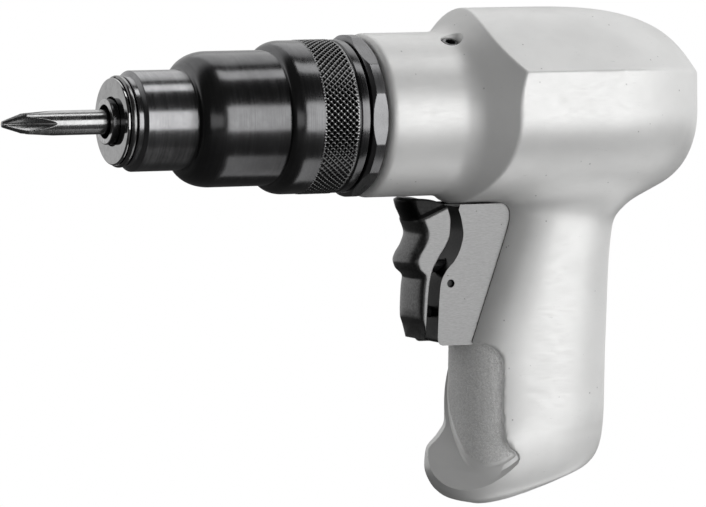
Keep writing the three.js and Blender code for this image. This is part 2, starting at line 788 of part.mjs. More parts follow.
// Trigger rings: [height, front station, rear station, half width, rise of the front].
const TRIGGER_RINGS = [
  [-24.1, 82.9, 92.5, 4.8, 1.5],
  [-24.6, 81.9, 93.5, 6.6, 1.3],
  [-26.2, 82.3, 94.2, 7.3, 1.2],
  [-29, 83.8, 94.8, 7.3, 0.8],
  [-32.4, 85.3, 94.6, 7.3, 0],
  [-35.3, 84.4, 93.5, 7.3, 0],
  [-38, 82.7, 91.7, 7.3, 0],
  [-39.8, 82.1, 90.6, 7.3, 0],
  [-41.8, 82.7, 89.5, 7.3, 0],
  [-44.6, 85.2, 88.7, 7.3, 0],
  [-47, 84.9, 88.3, 7.3, 0],
  [-53, 84.7, 87.8, 7.3, 0.6],
  [-56.5, 84.8, 87.6, 7.3, 2.2],
  [-59.5, 85, 87.4, 7.2, 4],
  [-61.2, 85.5, 87.3, 6.4, 5.1],
];

// Above this slanted line the trigger's sides stay as cast, a little narrower.
const CAST_SIDES = [[78, -31.9], [96, -24.3], [96, -18], [78, -18]];
const CAST_HALF_WIDTH = 6;

function triggerRing([height, front, rear, halfWidth, rise]) {
  const cheek = Math.min(3.3, (rear - front) * 0.72);
  const arcSteps = 8;
  const corner = 0.6;
  const point = (x, y) => new THREE.Vector3(x, y, height + (rise * (rear - x)) / (rear - front));
  const ring = [point(rear, halfWidth - corner), point(rear, corner - halfWidth)];
  ring.push(point(rear - corner, -halfWidth));
  for (let i = 0; i <= arcSteps; i += 1) {
    const angle = (Math.PI * i) / arcSteps;
    ring.push(point(front + cheek * (1 - Math.sin(angle) ** 0.9), -halfWidth * Math.cos(angle)));
  }
  ring.push(point(rear - corner, halfWidth));
  return ring;
}

function trigger() {
  const body = loft(TRIGGER_RINGS.map(triggerRing));
  const stemSocket = rod(86.2, 96.2, STEM_RADIUS + 0.15, 16).translate([0, 0, STEM_HEIGHT]);
  const guideSocket = rod(86.2, 96.2, 1.65, 16).translate([0, 0, -54]);
  const cheeks = [-1, 1].map((side) => (
    sidePrism(CAST_SIDES, 2).translate([0, side * (CAST_HALF_WIDTH + 2), 0])));
  return cut(body, stemSocket, guideSocket, ...cheeks);
}

function throttleRod(start, end, radius, height = STEM_HEIGHT, segments = 16) {
  return rod(start, end, radius, segments).translate([0, 0, height]);
}

function atStem(solid) {
  return solid.translate([0, 0, STEM_HEIGHT]);
}

// ---------- small fittings ----------

const PLUG_STATION = 93.5;
const PLUG_ANGLE = 25; // from the top of the body towards the near side
const PLUG_RADIUS = 2.4;

// Stands a body made along +X on the plug's radial axis; zero depth lies on the casting.
function atPlug(solid) {
  return solid.rotate([0, 90, 0]).translate([0, 0, flareRadius(PLUG_STATION)])
    .rotate([PLUG_ANGLE, 0, 0]).translate([PLUG_STATION, 0, 0]);
}

function plugScrew() {
  const head = rod(0.6, 2.7, PLUG_RADIUS);
  const keyHole = hexPrism(0, 2.1, 2.5);
  return atPlug(cut(head, keyHole));
}

function inletBushing() {
  const seat = revolve([
    [0.2, 5.7],
    [0.2, 8.4],
    [0.7, 8.9],
    [13, 8.9],
    [13, 5.7],
    [0.2, 5.7],
  ]);
  return alongInlet(seat, INLET_STATION, INLET_BOTTOM);
}

// A dished strainer just above the inlet bushing.
function inletScreen() {
  const cup = revolve([
    [7, 5.4],
    [11, 2.6],
    [11.6, 0],
    [11, 0],
    [10.4, 2.2],
    [6.5, 4.9],
    [6.5, 5.4],
    [7, 5.4],
  ], 24);
  return alongInlet(cup, INLET_STATION, INLET_BOTTOM);
}

// ---------- assembly ----------

addPiece('screwdriver_bit', screwdriverBit(), 'polishedSteel');
addPiece('bit_holder', bitHolder(), 'blackSteel');
addPiece('detent_ball', detentBall(), 'polishedSteel');
addPiece('detent_ring', splitRing(5.6, 7.4, 7.7, 6.7, 1.2), 'toolSteel');
addPiece('nose_bushing', noseBushing(), 'polishedSteel');
addPiece('retaining_ring', splitRing(NOSE_FACE + 1.05, NOSE_FACE + 2.7, RING_RADIUS, BUSH_RADIUS + GAP, 1.6), 'polishedSteel');
addPiece('clutch_housing', clutchHousing(), 'blackSteel');
addPiece('thrust_washer', tube(25.3, 26.1, 14.8, 6.8), 'bronze');
addPiece('clutch_jaw', clutchJaw(), 'toolSteel');
addPiece('clutch_spring', coilSpring(41.4, 49.2, 11.6, 1.9, 3), 'toolSteel');
addPiece('spring_seat', tube(49.4, 50.6, 14.8, 6.8), 'toolSteel');
addPiece('jam_nut', jamNut(), 'blackSteel');
addPiece('gear_case', gearCase(), 'toolSteel');
addPiece('carrier_bearing', ballBearing(57.8, 66.5, 13, 6.3), 'polishedSteel');
addPiece('planet_carrier', planetCarrier(), 'toolSteel');
for (let i = 0; i < PLANET_COUNT; i += 1) {
  const place = planetCentre(i);
  const facing = Math.PI / PLANET_TEETH;
  const gear = externalGear(PLANET_TEETH, facing, GEAR_START, GEAR_END, 2.15);
  addPiece(`planet_gear_${i + 1}`, gear.translate(place), 'toolSteel');
  addPiece(`planet_pin_${i + 1}`, rod(69.4, 86, 1.95, 16).translate(place), 'polishedSteel');
}
addPiece('ring_gear', ringGear(), 'toolSteel');
addPiece('sun_pinion', externalGear(SUN_TEETH, 0, GEAR_START - 0.5, 88.2, 2.55), 'toolSteel');
addPiece('rotor', rotor(), 'toolSteel');
for (let i = 0; i < VANE_COUNT; i += 1) {
  addPiece(`rotor_vane_${i + 1}`, vane(i), 'phenolic');
}
addPiece('motor_cylinder', motorCylinder(), 'toolSteel');
addPiece('front_end_plate', endPlate(93, 98.9), 'bronze');
addPiece('rear_end_plate', endPlate(141.1, 146.6), 'bronze');
addPiece('front_rotor_bearing', ballBearing(93.2, 98.4, 8, 4.2), 'polishedSteel');
addPiece('rear_rotor_bearing', ballBearing(141.6, 146.4, 8, 4.2), 'polishedSteel');
addPiece('motor_dowel', rod(93.3, 146.4, 1.2, 12).translate([0, 0, DOWEL_HEIGHT]), 'toolSteel');
addPiece('spring_washer', tube(147, 148, 18.6, 12.5), 'toolSteel');

addPiece('handle_housing', handleHousing(), 'castAluminium');
addPiece('plug_screw', plugScrew(), 'blackSteel');

addPiece('trigger', trigger(), 'greyTrigger');
addPiece('trigger_block', triggerBlock(), 'greyTrigger');
addPiece('block_pin', acrossBlock(rod(-PIN_END, PIN_END, 1, 12)), 'blackSteel');
addPiece('throttle_stem', throttleRod(86.5, 121.4, STEM_RADIUS), 'polishedSteel');
addPiece('trigger_guide_pin', throttleRod(86.5, 101.3, 1.5, -54), 'polishedSteel');
addPiece('valve_bushing', atStem(tube(114.2, 115.6, VALVE_BORE - GAP, STEM_RADIUS + 0.15, 24)), 'bronze');
addPiece('valve_seat', atStem(tube(120, 121.4, VALVE_BORE - GAP, 3.8, 24)), 'bronze');
addPiece('valve_disc', atStem(rod(121.7, 123.5, 5.2, 24)), 'rubber');
addPiece('valve_spring', atStem(coilSpring(123.8, 128, 3.4, 0.9, 3)), 'toolSteel');
addPiece('valve_spring_cup', atStem(tube(128.3, 129.9, VALVE_BORE - GAP, 1.5, 24)), 'bronze');

addPiece('inlet_bushing', inletBushing(), 'blackSteel');
addPiece('inlet_screen', inletScreen(), 'bronze');
addPiece('exhaust_muffler', alongInlet(rod(0.3, 7, 4.1, 24), EXHAUST_STATION, exhaustBottom), 'bronze');

tool.position.set(-GRIP_STATION, 0, AXIS_HEIGHT);
const assembly = new THREE.Group();
assembly.add(tool);

export default assembly;
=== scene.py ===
"""A pneumatic pistol-grip screwdriver, dressed for a studio view.

Pieces are drawn in tool coordinates, in millimetres: the station along the spindle, the
distance across the tool and the height above the spindle axis. to_row() takes them to the
row frame in metres.
"""

import json
import math
import random

import bmesh
import bpy
import numpy as np
from mathutils import Matrix, Vector, noise
from mathutils.bvhtree import BVHTree


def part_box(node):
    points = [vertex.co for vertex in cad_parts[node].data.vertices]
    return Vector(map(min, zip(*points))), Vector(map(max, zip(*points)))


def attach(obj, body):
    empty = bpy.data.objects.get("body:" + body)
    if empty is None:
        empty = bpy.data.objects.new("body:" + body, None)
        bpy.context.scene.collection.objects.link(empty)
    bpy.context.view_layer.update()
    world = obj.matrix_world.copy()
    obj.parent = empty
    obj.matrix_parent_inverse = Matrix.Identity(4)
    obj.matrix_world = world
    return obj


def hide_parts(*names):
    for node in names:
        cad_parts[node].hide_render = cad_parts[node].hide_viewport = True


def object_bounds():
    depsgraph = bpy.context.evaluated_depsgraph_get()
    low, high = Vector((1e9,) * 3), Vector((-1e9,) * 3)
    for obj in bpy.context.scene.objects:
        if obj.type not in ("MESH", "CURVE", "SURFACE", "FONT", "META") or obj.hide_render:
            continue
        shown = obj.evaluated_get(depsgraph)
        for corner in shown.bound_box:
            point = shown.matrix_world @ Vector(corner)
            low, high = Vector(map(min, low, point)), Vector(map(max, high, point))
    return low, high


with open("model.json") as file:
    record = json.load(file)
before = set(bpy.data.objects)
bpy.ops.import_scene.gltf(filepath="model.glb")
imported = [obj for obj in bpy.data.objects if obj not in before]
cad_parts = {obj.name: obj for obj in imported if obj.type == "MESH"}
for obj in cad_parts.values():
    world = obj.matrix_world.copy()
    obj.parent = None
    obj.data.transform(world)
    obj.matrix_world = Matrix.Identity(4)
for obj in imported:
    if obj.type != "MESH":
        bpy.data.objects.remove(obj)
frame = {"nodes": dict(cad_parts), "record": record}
CAD_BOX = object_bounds()

MM = 0.001
NOSE_FACE = -2.1  # station of the nose face, in millimetres
ZERO_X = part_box("nose_bushing")[0].x - NOSE_FACE * MM
AXIS_Z = sum(corner.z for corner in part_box("clutch_housing")) / 2
RNG = random.Random(7)

# ---------- driving dimensions, in millimetres ----------

HOLDER_FRONT = -4.1
COLLAR_RADIUS, KNURL_RADIUS, THREAD_RADIUS = 20.7, 20.85, 18.4
KNURL_START, KNURL_END = 51.1, 61.1
BODY_START, BODY_RADIUS, BODY_BORE = 70.2, 22.25, 19.5
FLARE_OFFSET, FLARE_FILLET = 72.6, 9.0
FLARE_START = BODY_RADIUS + FLARE_OFFSET - FLARE_FILLET * math.tan(math.pi / 8)
FILLET_RUN = FLARE_FILLET * math.sqrt(0.5)
HOOD_START, HOOD_END = 120.0, 169.4
HOOD_HALF_WIDTH, CREASE_HALF_WIDTH, CREASE_HEIGHT = 31.5, 31.0, 12.4
ROOF_RISE, ROOF_ROUNDING, HOOD_DEPTH = 16.3, 20.0, 24.5
STEM_HEIGHT, STEM_BORE = -41.5, 1.95
GUIDE_HEIGHT, GUIDE_BORE = -54, 1.65
BLOCK_PIN_STATION, BLOCK_PIN_HEIGHT = 94.6, -45.9
INLET_TILT = math.radians(16.7)
INLET_STATION, INLET_BOTTOM = 113.5, -104.4
EXHAUST_STATION = 129.0
EXHAUST_BOTTOM = INLET_BOTTOM + (EXHAUST_STATION - INLET_STATION) * math.tan(INLET_TILT)
PLUG_STATION, PLUG_ANGLE = 93.5, math.radians(25)
BLOCK_HALF_WIDTH, TRIGGER_HALF_WIDTH = 7.4, 7.3
# Above the slanted line through this point the trigger's sides stay as cast.
CAST_SIDE_START, CAST_SIDE_FOOT, CAST_SIDE_RISE = 78, -31.9, 0.42
CLEARANCE = 0.3

# ---------- mesh helpers ----------


def to_row(points):
    """Tool coordinates in millimetres to row coordinates in metres."""
    points = np.asarray(points, float)
    return points * MM + np.array([ZERO_X, 0, AXIS_Z])


def mesh_object(name, points, faces, smooth_angle=38, in_row=False):
    """An object from points in tool coordinates; edges sharper than the angle stay crisp."""
    mesh = bpy.data.meshes.new(name)
    placed = np.asarray(points, float) if in_row else to_row(points)
    mesh.from_pydata(placed.tolist(), [], faces)
    solid = bmesh.new()
    solid.from_mesh(mesh)
    if solid.calc_volume(signed=True) < 0:
        bmesh.ops.reverse_faces(solid, faces=solid.faces)
        solid.to_mesh(mesh)
    solid.free()
    obj = bpy.data.objects.new(name, mesh)
    bpy.context.scene.collection.objects.link(obj)
    shade(obj, smooth_angle)
    return obj


def shade(obj, smooth_angle):
    """Smooth shading, with edges sharper than the angle kept crisp."""
    mesh = obj.data
    mesh.polygons.foreach_set("use_smooth", [True] * len(mesh.polygons))
    mesh.set_sharp_from_angle(angle=math.radians(smooth_angle))


def ring_mesh(rings, closed=False, flat_caps=False):
    """Points and faces joining equal rings; open ends get a fan round a hub, or one face."""
    rings = [np.asarray(ring, float) for ring in rings]
    count = len(rings[0])
    points = [tuple(p) for ring in rings for p in ring]
    faces = []
    rows = len(rings)
    for row in range(rows if closed else rows - 1):
        base, above = row * count, ((row + 1) % rows) * count
        for i in range(count):
            j = (i + 1) % count
            faces.append((base + i, base + j, above + j, above + i))
    if flat_caps:
        faces += [tuple(range(count))[::-1], tuple(range((rows - 1) * count, rows * count))]
    elif not closed:
        for row, order in ((0, -1), (rows - 1, 1)):
            hub = len(points)
            points.append(tuple(rings[row].mean(axis=0)))
            for i in range(count):
                j = (i + 1) % count
                pair = (row * count + i, row * count + j)[::order]
                faces.append((hub, *pair))
    return points, faces


def circle_ring(station, radius, segments):
    """A ring about the spindle axis; radius is a number or one value per segment."""
    angles = 2 * math.pi * np.arange(segments) / segments
    radius = np.broadcast_to(radius, angles.shape)
    return np.column_stack(
        [np.full(segments, float(station)), radius * np.cos(angles), radius * np.sin(angles)]
    )


def rounded(outline, default=0.15, closed=False, steps=4):
    """The outline with an arc at each corner. A corner may carry its own radius as a third number."""
    points = [np.array(p[:2], float) for p in outline]
    radii = [p[2] if len(p) > 2 else default for p in outline]
    count = len(points)
    result = []
    for i, point in enumerate(points):
        if not closed and i in (0, count - 1):
            result.append(tuple(point))
            continue
        before, after = points[i - 1] - point, points[(i + 1) % count] - point
        reach_before, reach_after = np.linalg.norm(before), np.linalg.norm(after)
        before, after = before / reach_before, after / reach_after
        half = math.acos(np.clip(before @ after, -1, 1)) / 2
        if half > math.radians(88) or radii[i] <= 0:
            result.append(tuple(point))
            continue
        reach = min(radii[i] / math.tan(half), 0.45 * reach_before, 0.45 * reach_after)
        radius = reach * math.tan(half)
        middle = before + after
        centre = point + middle / np.linalg.norm(middle) * (radius / math.sin(half))
        first, last = point + before * reach - centre, point + after * reach - centre
        for k in range(steps + 1):
            blend = first * (1 - k / steps) + last * (k / steps)
            result.append(tuple(centre + blend / np.linalg.norm(blend) * radius))
    return result


def lathe(name, profile, segments=128, closed=True, **options):
    """A body turned about the spindle axis from [station, radius] points."""
    rings = [circle_ring(s, max(r, 1e-4), segments) for s, r in profile]
    return mesh_object(name, *ring_mesh(rings, closed), **options)


def shoulder(start, end, low, high, steps=14):
    """A rounded shoulder that rises from one cylinder to the next."""
    angles = [math.pi / 2 * i / steps for i in range(steps + 1)]
    return [(end - (end - start) * math.cos(a), low + (high - low) * math.sin(a), 0) for a in angles]


def soft_min(a, b, size):
    """The smaller of a and b, with the corner between them rounded over that size."""
    spread = np.clip(0.5 + 0.5 * (b - a) / size, 0, 1)
    return b + (a - b) * spread - size * spread * (1 - spread)


def hexagon_radius(angles, apothem, rounding=0.0):
    """Radius of a hexagon at each angle, with a flat at angle zero and every 60 degrees."""
    local = (angles + math.pi / 6) % (math.pi / 3) - math.pi / 6
    radius = apothem / np.cos(local)
    if rounding:
        other = apothem / np.cos(math.pi / 3 - np.abs(local))
        radius = soft_min(radius, other, rounding)
    return radius


def moved(obj, matrix_mm):
    """Turns and shifts an object that was drawn in tool coordinates, by a matrix in those coordinates."""
    basis = Matrix.Translation((ZERO_X, 0, AXIS_Z)) @ Matrix.Scale(MM, 4)
    obj.data.transform(basis @ matrix_mm @ basis.inverted())
    return obj


def boolean(obj, tool, operation="DIFFERENCE"):
    """Cuts or joins the tool, which is used up."""
    modifier = obj.modifiers.new("boolean", "BOOLEAN")
    modifier.operation, modifier.solver, modifier.object = operation, "MANIFOLD", tool
    bake_modifiers(obj)
    spent = tool.data
    bpy.data.objects.remove(tool)
    bpy.data.meshes.remove(spent)
    return obj


def bake_modifiers(obj):
    evaluated = obj.evaluated_get(bpy.context.evaluated_depsgraph_get())
    mesh = bpy.data.meshes.new_from_object(evaluated)
    old = obj.data
    obj.modifiers.clear()
    obj.data = mesh
    bpy.data.meshes.remove(old)


def spline_rows(rows, steps):
    """Rows of numbers with steps rows between each pair, by a Catmull-Rom curve kept between neighbours."""
    rows = np.asarray(rows, float)
    slopes = np.zeros_like(rows)
    before, after = rows[1:-1] - rows[:-2], rows[2:] - rows[1:-1]
    same = before * after > 0
    slopes[1:-1] = np.where(same, 2 * before * after / np.where(same, before + after, 1), 0)
    slopes[0], slopes[-1] = rows[1] - rows[0], rows[-1] - rows[-2]
    result = []
    for i in range(len(rows) - 1):
        for k in range(steps):
            t = k / steps
            result.append(
                rows[i] * (1 + 2 * t) * (1 - t) ** 2
                + slopes[i] * t * (1 - t) ** 2
                + rows[i + 1] * t * t * (3 - 2 * t)
                + slopes[i + 1] * t * t * (t - 1)
            )
    result.append(rows[-1])
    return result


# ---------- node materials ----------


class Graph:
    """A material's node tree, written as nested calls."""

    def __init__(self, name):
        self.material = bpy.data.materials.new(name)
        self.material.use_nodes = True
        self.tree = self.material.node_tree
        self.tree.nodes.clear()
        self.output = self.node("ShaderNodeOutputMaterial")
        coordinates = self.tree.nodes.new("ShaderNodeTexCoord")
        self.position = self.vector("SCALE", coordinates.outputs["Object"], scale=1 / MM)
        parts = self.node("ShaderNodeSeparateXYZ", {"Vector": self.position})
        self.x, self.y, self.z = parts.outputs

    def node(self, kind, inputs=None, **attributes):
        node = self.tree.nodes.new(kind)
        for key, value in attributes.items():
            setattr(node, key, value)
        for key, value in (inputs or {}).items():
            self.put(node.inputs[key], value)
        return node

    def put(self, socket, value):
        if isinstance(value, bpy.types.NodeSocket):
            self.tree.links.new(value, socket)
        else:
            socket.default_value = value

    def radius(self):
        """Distance from the spindle axis, in millimetres."""
        height = self.math("SUBTRACT", self.z, AXIS_Z / MM)
        squares = [self.math("POWER", value, 2.0) for value in (self.y, height)]
        return self.math("SQRT", self.math("ADD", *squares))

    def math(self, operation, *values):
        return self.node("ShaderNodeMath", dict(enumerate(values)), operation=operation).outputs[0]

    def vector(self, operation, *values, scale=None):
        inputs = dict(enumerate(values))
        if scale is not None:
            inputs["Scale"] = scale
        return self.node("ShaderNodeVectorMath", inputs, operation=operation).outputs[0]

    def combine(self, x, y, z):
        return self.node("ShaderNodeCombineXYZ", {0: x, 1: y, 2: z}).outputs[0]

    def grey(self, value):
        return self.combine(value, value, value)

    def noise(self, scale, detail=3.0, roughness=0.5, where=None):
        inputs = {"Vector": where or self.position, "Scale": scale, "Detail": detail, "Roughness": roughness}
        return self.node("ShaderNodeTexNoise", inputs).outputs["Fac"]

    def cells(self, scale):
        inputs = {"Vector": self.position, "Scale": scale}
        return self.node("ShaderNodeTexVoronoi", inputs).outputs["Distance"]

    def remap(self, value, low, high, out_low=0.0, out_high=1.0, smooth=True):
        kind = "SMOOTHSTEP" if smooth else "LINEAR"
        inputs = {"Value": value, 1: low, 2: high, 3: out_low, 4: out_high}
        return self.node("ShaderNodeMapRange", inputs, interpolation_type=kind).outputs[0]

    def mix(self, factor, a, b):
        node = self.node("ShaderNodeMix", {0: factor}, data_type="RGBA")
        for socket, value in ((node.inputs[6], a), (node.inputs[7], b)):
            self.put(socket, (*value, 1) if isinstance(value, tuple) else value)
        return node.outputs[2]

    def bump(self, height, strength, distance, normal=None):
        inputs = {"Height": height, "Strength": strength, "Distance": distance * MM}
        if normal is not None:
            inputs["Normal"] = normal
        return self.node("ShaderNodeBump", inputs).outputs[0]

    def surface(self, **inputs):
        names = {key.replace("_", " ").title(): value for key, value in inputs.items()}
        shader = self.node("ShaderNodeBsdfPrincipled", names)
        self.tree.links.new(shader.outputs[0], self.output.inputs[0])
        return self.material


def turned_streaks(graph, fine, coarse):
    """Fine turning marks: noise that runs round the spindle axis and changes quickly along it."""
    along, outward = [graph.math("MULTIPLY", value, fine) for value in (graph.x, graph.radius())]
    sharp = graph.noise(1.0, 4.0, 0.7, graph.combine(along, outward, 0.0))
    drift = graph.vector("MULTIPLY", graph.position, (coarse * 6, coarse, coarse))
    slow = graph.math("MULTIPLY", graph.noise(1.0, 2.0, 0.5, drift), 0.25)
    return graph.math("MULTIPLY_ADD", sharp, 0.75, slow)


def black_finish(graph, low=0.15, high=0.27, base=0.17):
    """Colour, roughness and streaks of turned steel under a thin black oxide."""
    streaks = turned_streaks(graph, 5.0, 0.12)
    smudge = graph.noise(0.16, 4.0, 0.6)
    streaked, smudged = graph.remap(streaks, 0.3, 0.7, 0.82, 1.14), graph.remap(smudge, 0.3, 0.75, 0.9, 1.12)
    level = graph.math("MULTIPLY", streaked, smudged)
    tint = graph.vector("SCALE", (base, base, base * 1.02), scale=level)
    return tint, graph.remap(streaks, 0.3, 0.72, low, high), streaks


def turned_surface(graph, tint, rough, streaks):
    """Finishes a turned black part's material."""
    skin = graph.bump(streaks, 0.35, 0.012)
    return graph.surface(base_color=tint, metallic=1.0, roughness=rough, normal=skin)


def black_steel(name, *finish):
    graph = Graph(name)
    return turned_surface(graph, *black_finish(graph, *finish))


def knurled_steel():
    """The clutch housing: black turned steel whose nose is brightened by painted sheen, whose knurl ridges
    are worn paler and whose knurl pits are darkened by painted shade.
    """
    graph = Graph("clutch_housing_steel")
    tint, rough, streaks = black_finish(graph)
    # Painted sheen: the colour rises up to 2.1 times towards the nose, standing in for a brighter reflection
    # band there.
    nose_painted_sheen = graph.remap(graph.x, station_x(14.0), station_x(18.0), 2.1, 1.0)
    tint = graph.vector("SCALE", tint, scale=nose_painted_sheen)
    radius = graph.radius()
    after_start = graph.remap(graph.x, station_x(KNURL_START + 0.1), station_x(KNURL_START + 0.3))
    before_end = graph.remap(graph.x, station_x(KNURL_END + 0.2), station_x(KNURL_END))
    band = graph.math("MULTIPLY", after_start, before_end)
    ridge = graph.math("MULTIPLY", band, graph.remap(radius, KNURL_RADIUS - 0.25, KNURL_RADIUS - 0.05))
    # Painted shade: the knurl's pits are coloured near-black, standing in for the shade in those recesses.
    pit_shade = graph.math("MULTIPLY", band, graph.remap(radius, KNURL_RADIUS - 0.2, KNURL_RADIUS - 0.4))
    tint = graph.mix(ridge, tint, (0.42, 0.42, 0.42))
    tint = graph.mix(pit_shade, tint, (0.012, 0.012, 0.012))
    return turned_surface(graph, tint, rough, streaks)


def holder_steel():
    """The bit holder: black steel whose front face is worn to a bright satin."""
    graph = Graph("bit_holder_steel")
    tint, rough, streaks = black_finish(graph)
    face = graph.remap(graph.x, station_x(HOLDER_FRONT + 0.25), station_x(HOLDER_FRONT + 0.1))
    worn = graph.remap(graph.noise(0.8, 3.0, 0.6), 0.3, 0.7, 0.5, 0.7)
    tint = graph.mix(face, tint, graph.grey(worn))
    return turned_surface(graph, tint, rough, streaks)


def station_x(station):
    """Row-frame x of a station, in millimetres, as the materials see it."""
    return ZERO_X / MM + station


def bright_steel(name="bright_steel", base=0.62, low=0.12, high=0.3):
    graph = Graph(name)
    streaks = turned_streaks(graph, 4.0, 0.2)
    stains = graph.noise(0.5, 4.0, 0.65)
    value = graph.remap(stains, 0.35, 0.75, base, base * 0.82)
    return graph.surface(
        base_color=graph.grey(value),
        metallic=1.0,
        roughness=graph.remap(streaks, 0.3, 0.7, low, high),
        normal=graph.bump(streaks, 0.3, 0.01),
    )


def plain_metal(name, colour, rough):
    graph = Graph(name)
    grains = graph.noise(3.0, 4.0, 0.6)
    stains = graph.noise(0.25, 3.0, 0.6)
    tint = graph.mix(graph.remap(stains, 0.3, 0.7), colour, tuple(0.75 * c for c in colour))
    return graph.surface(
        base_color=tint,
        metallic=1.0,
        roughness=graph.remap(grains, 0.3, 0.7, rough * 0.8, rough * 1.25),
        normal=graph.bump(grains, 0.3, 0.02),
    )


def matte(name, colour, rough):
    graph = Graph(name)
    grains = graph.noise(2.0, 5.0, 0.65)
    tint = graph.mix(graph.remap(grains, 0.3, 0.7), colour, tuple(0.7 * c for c in colour))
    return graph.surface(
        base_color=tint,
        roughness=graph.remap(grains, 0.3, 0.7, rough * 0.85, min(1.0, rough * 1.1)),
        normal=graph.bump(grains, 0.4, 0.03),
    )


def trigger_metal(name, half_width, dark):
    """A blackened die casting whose side faces were ground flat to a grey satin, darkened by painted shade
    above the line where the grinding ends.
    """
    graph = Graph(name)
    side = graph.math("ABSOLUTE", graph.y)
    ground = graph.remap(side, half_width - 0.09, half_width - 0.03)
    lines = graph.noise(1.0, 3.0, 0.6, graph.vector("MULTIPLY", graph.position, (0.9, 1.0, 9.0)))
    cast = graph.noise(1.6, 5.0, 0.6)
    specks = graph.remap(graph.cells(0.45), 0.06, 0.13, 1.0, 0.0)
    specks = graph.math("MULTIPLY", specks, graph.remap(graph.noise(0.3, 2.0), 0.55, 0.6))
    grey = graph.remap(lines, 0.3, 0.7, 0.27, 0.33)
    line = CAST_SIDE_FOOT + AXIS_Z / MM - CAST_SIDE_RISE * station_x(CAST_SIDE_START)
    above = graph.math("MULTIPLY_ADD", graph.x, -CAST_SIDE_RISE, graph.z)
    black = graph.remap(cast, 0.3, 0.7, dark, 1.6 * dark)
    # Painted shade: above the slanted line the cast black falls to 0.12 of itself, standing in for the shade
    # under the body.
    black = graph.math("MULTIPLY", black, graph.remap(above, line + 0.1, line + 0.5, 1.0, 0.12))
    value = graph.math("MULTIPLY_ADD", ground, graph.math("SUBTRACT", grey, black), black)
    value = graph.math("MULTIPLY", value, graph.remap(specks, 0.0, 1.0, 1.0, 0.35))
    shallow = graph.math("MULTIPLY", lines, 0.3)
    height = graph.math("MULTIPLY_ADD", ground, graph.math("SUBTRACT", shallow, cast), cast)
    return graph.surface(
        base_color=graph.grey(value),
        metallic=1.0,
        roughness=graph.remap(ground, 0.0, 1.0, 0.34, 0.4),
        normal=graph.bump(height, 0.35, 0.05),
    )


def cast_aluminium():
    """Belt-polished casting with pores, hairline scratches and a rough cast finger flute."""
    graph = Graph("cast_aluminium")
    broad = graph.noise(0.07, 3.0, 0.5)
    belt = graph.noise(1.0, 3.0, 0.65, graph.vector("MULTIPLY", graph.position, (0.35, 0.35, 2.2)))
    grain = graph.noise(5.0, 4.0, 0.7)
    pores = graph.remap(graph.cells(0.32), 0.05, 0.1, 1.0, 0.0)
    pores = graph.math("MULTIPLY", pores, graph.remap(graph.noise(0.13, 2.0), 0.52, 0.6))
    scratch_lines = graph.noise(1.0, 1.0, 0.5, graph.vector("MULTIPLY", graph.position, (0.16, 0.5, 1.7)))
    off_line = graph.math("ABSOLUTE", graph.math("SUBTRACT", scratch_lines, 0.5))
    scratches = graph.remap(off_line, 0.0, 0.004, 1.0, 0.0)
    scratches = graph.math("MULTIPLY", scratches, graph.remap(graph.noise(0.2, 2.0), 0.56, 0.64))
    attribute = graph.node("ShaderNodeAttribute", attribute_name="cast_skin").outputs["Fac"]
    ragged = graph.math("ADD", attribute, graph.remap(graph.noise(0.7, 4.0, 0.7), 0.3, 0.7, -0.3, 0.3))
    cast = graph.remap(ragged, 0.42, 0.58)
    pits = graph.noise(1.5, 6.0, 0.75)
    # Painted glints: bright flecks added to the flute's cast colour, standing in for light catching its rough
    # skin.
    painted_glint = graph.remap(graph.noise(2.6, 3.0, 0.6), 0.6, 0.68)
    polished = graph.remap(broad, 0.3, 0.7, 0.9, 0.96)
    polished = graph.math("SUBTRACT", polished, graph.math("MULTIPLY", pores, 0.35))
    polished = graph.math("SUBTRACT", polished, graph.math("MULTIPLY", scratches, 0.2))
    raw = graph.math("MULTIPLY_ADD", painted_glint, 0.25, graph.remap(pits, 0.3, 0.7, 0.76, 0.96))
    value = graph.math("MULTIPLY_ADD", cast, graph.math("SUBTRACT", raw, polished), polished)
    rough = graph.math("ADD", graph.remap(belt, 0.3, 0.7, 0.4, 0.52), graph.math("MULTIPLY", cast, 0.1))
    fine = graph.math("MULTIPLY_ADD", belt, 0.5, graph.math("MULTIPLY", grain, 0.35))
    fine = graph.math("SUBTRACT", fine, graph.math("MULTIPLY", pores, 1.2))
    skin = graph.bump(graph.math("MULTIPLY", pits, cast), 0.9, 0.3, graph.bump(fine, 0.3, 0.03))
    return graph.surface(
        base_color=graph.combine(value, value, graph.math("MULTIPLY", value, 0.99)),
        metallic=0.5,
        roughness=rough,
        normal=skin,
    )


def finish_piece(obj, material, body, node):
    """Gives a new piece its material and the CAD body it rides on, and hides the CAD node it stands for."""
    obj.data.materials.clear()
    obj.data.materials.append(material)
    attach(obj, body)
    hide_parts(node)


# ---------- bit and nose ----------


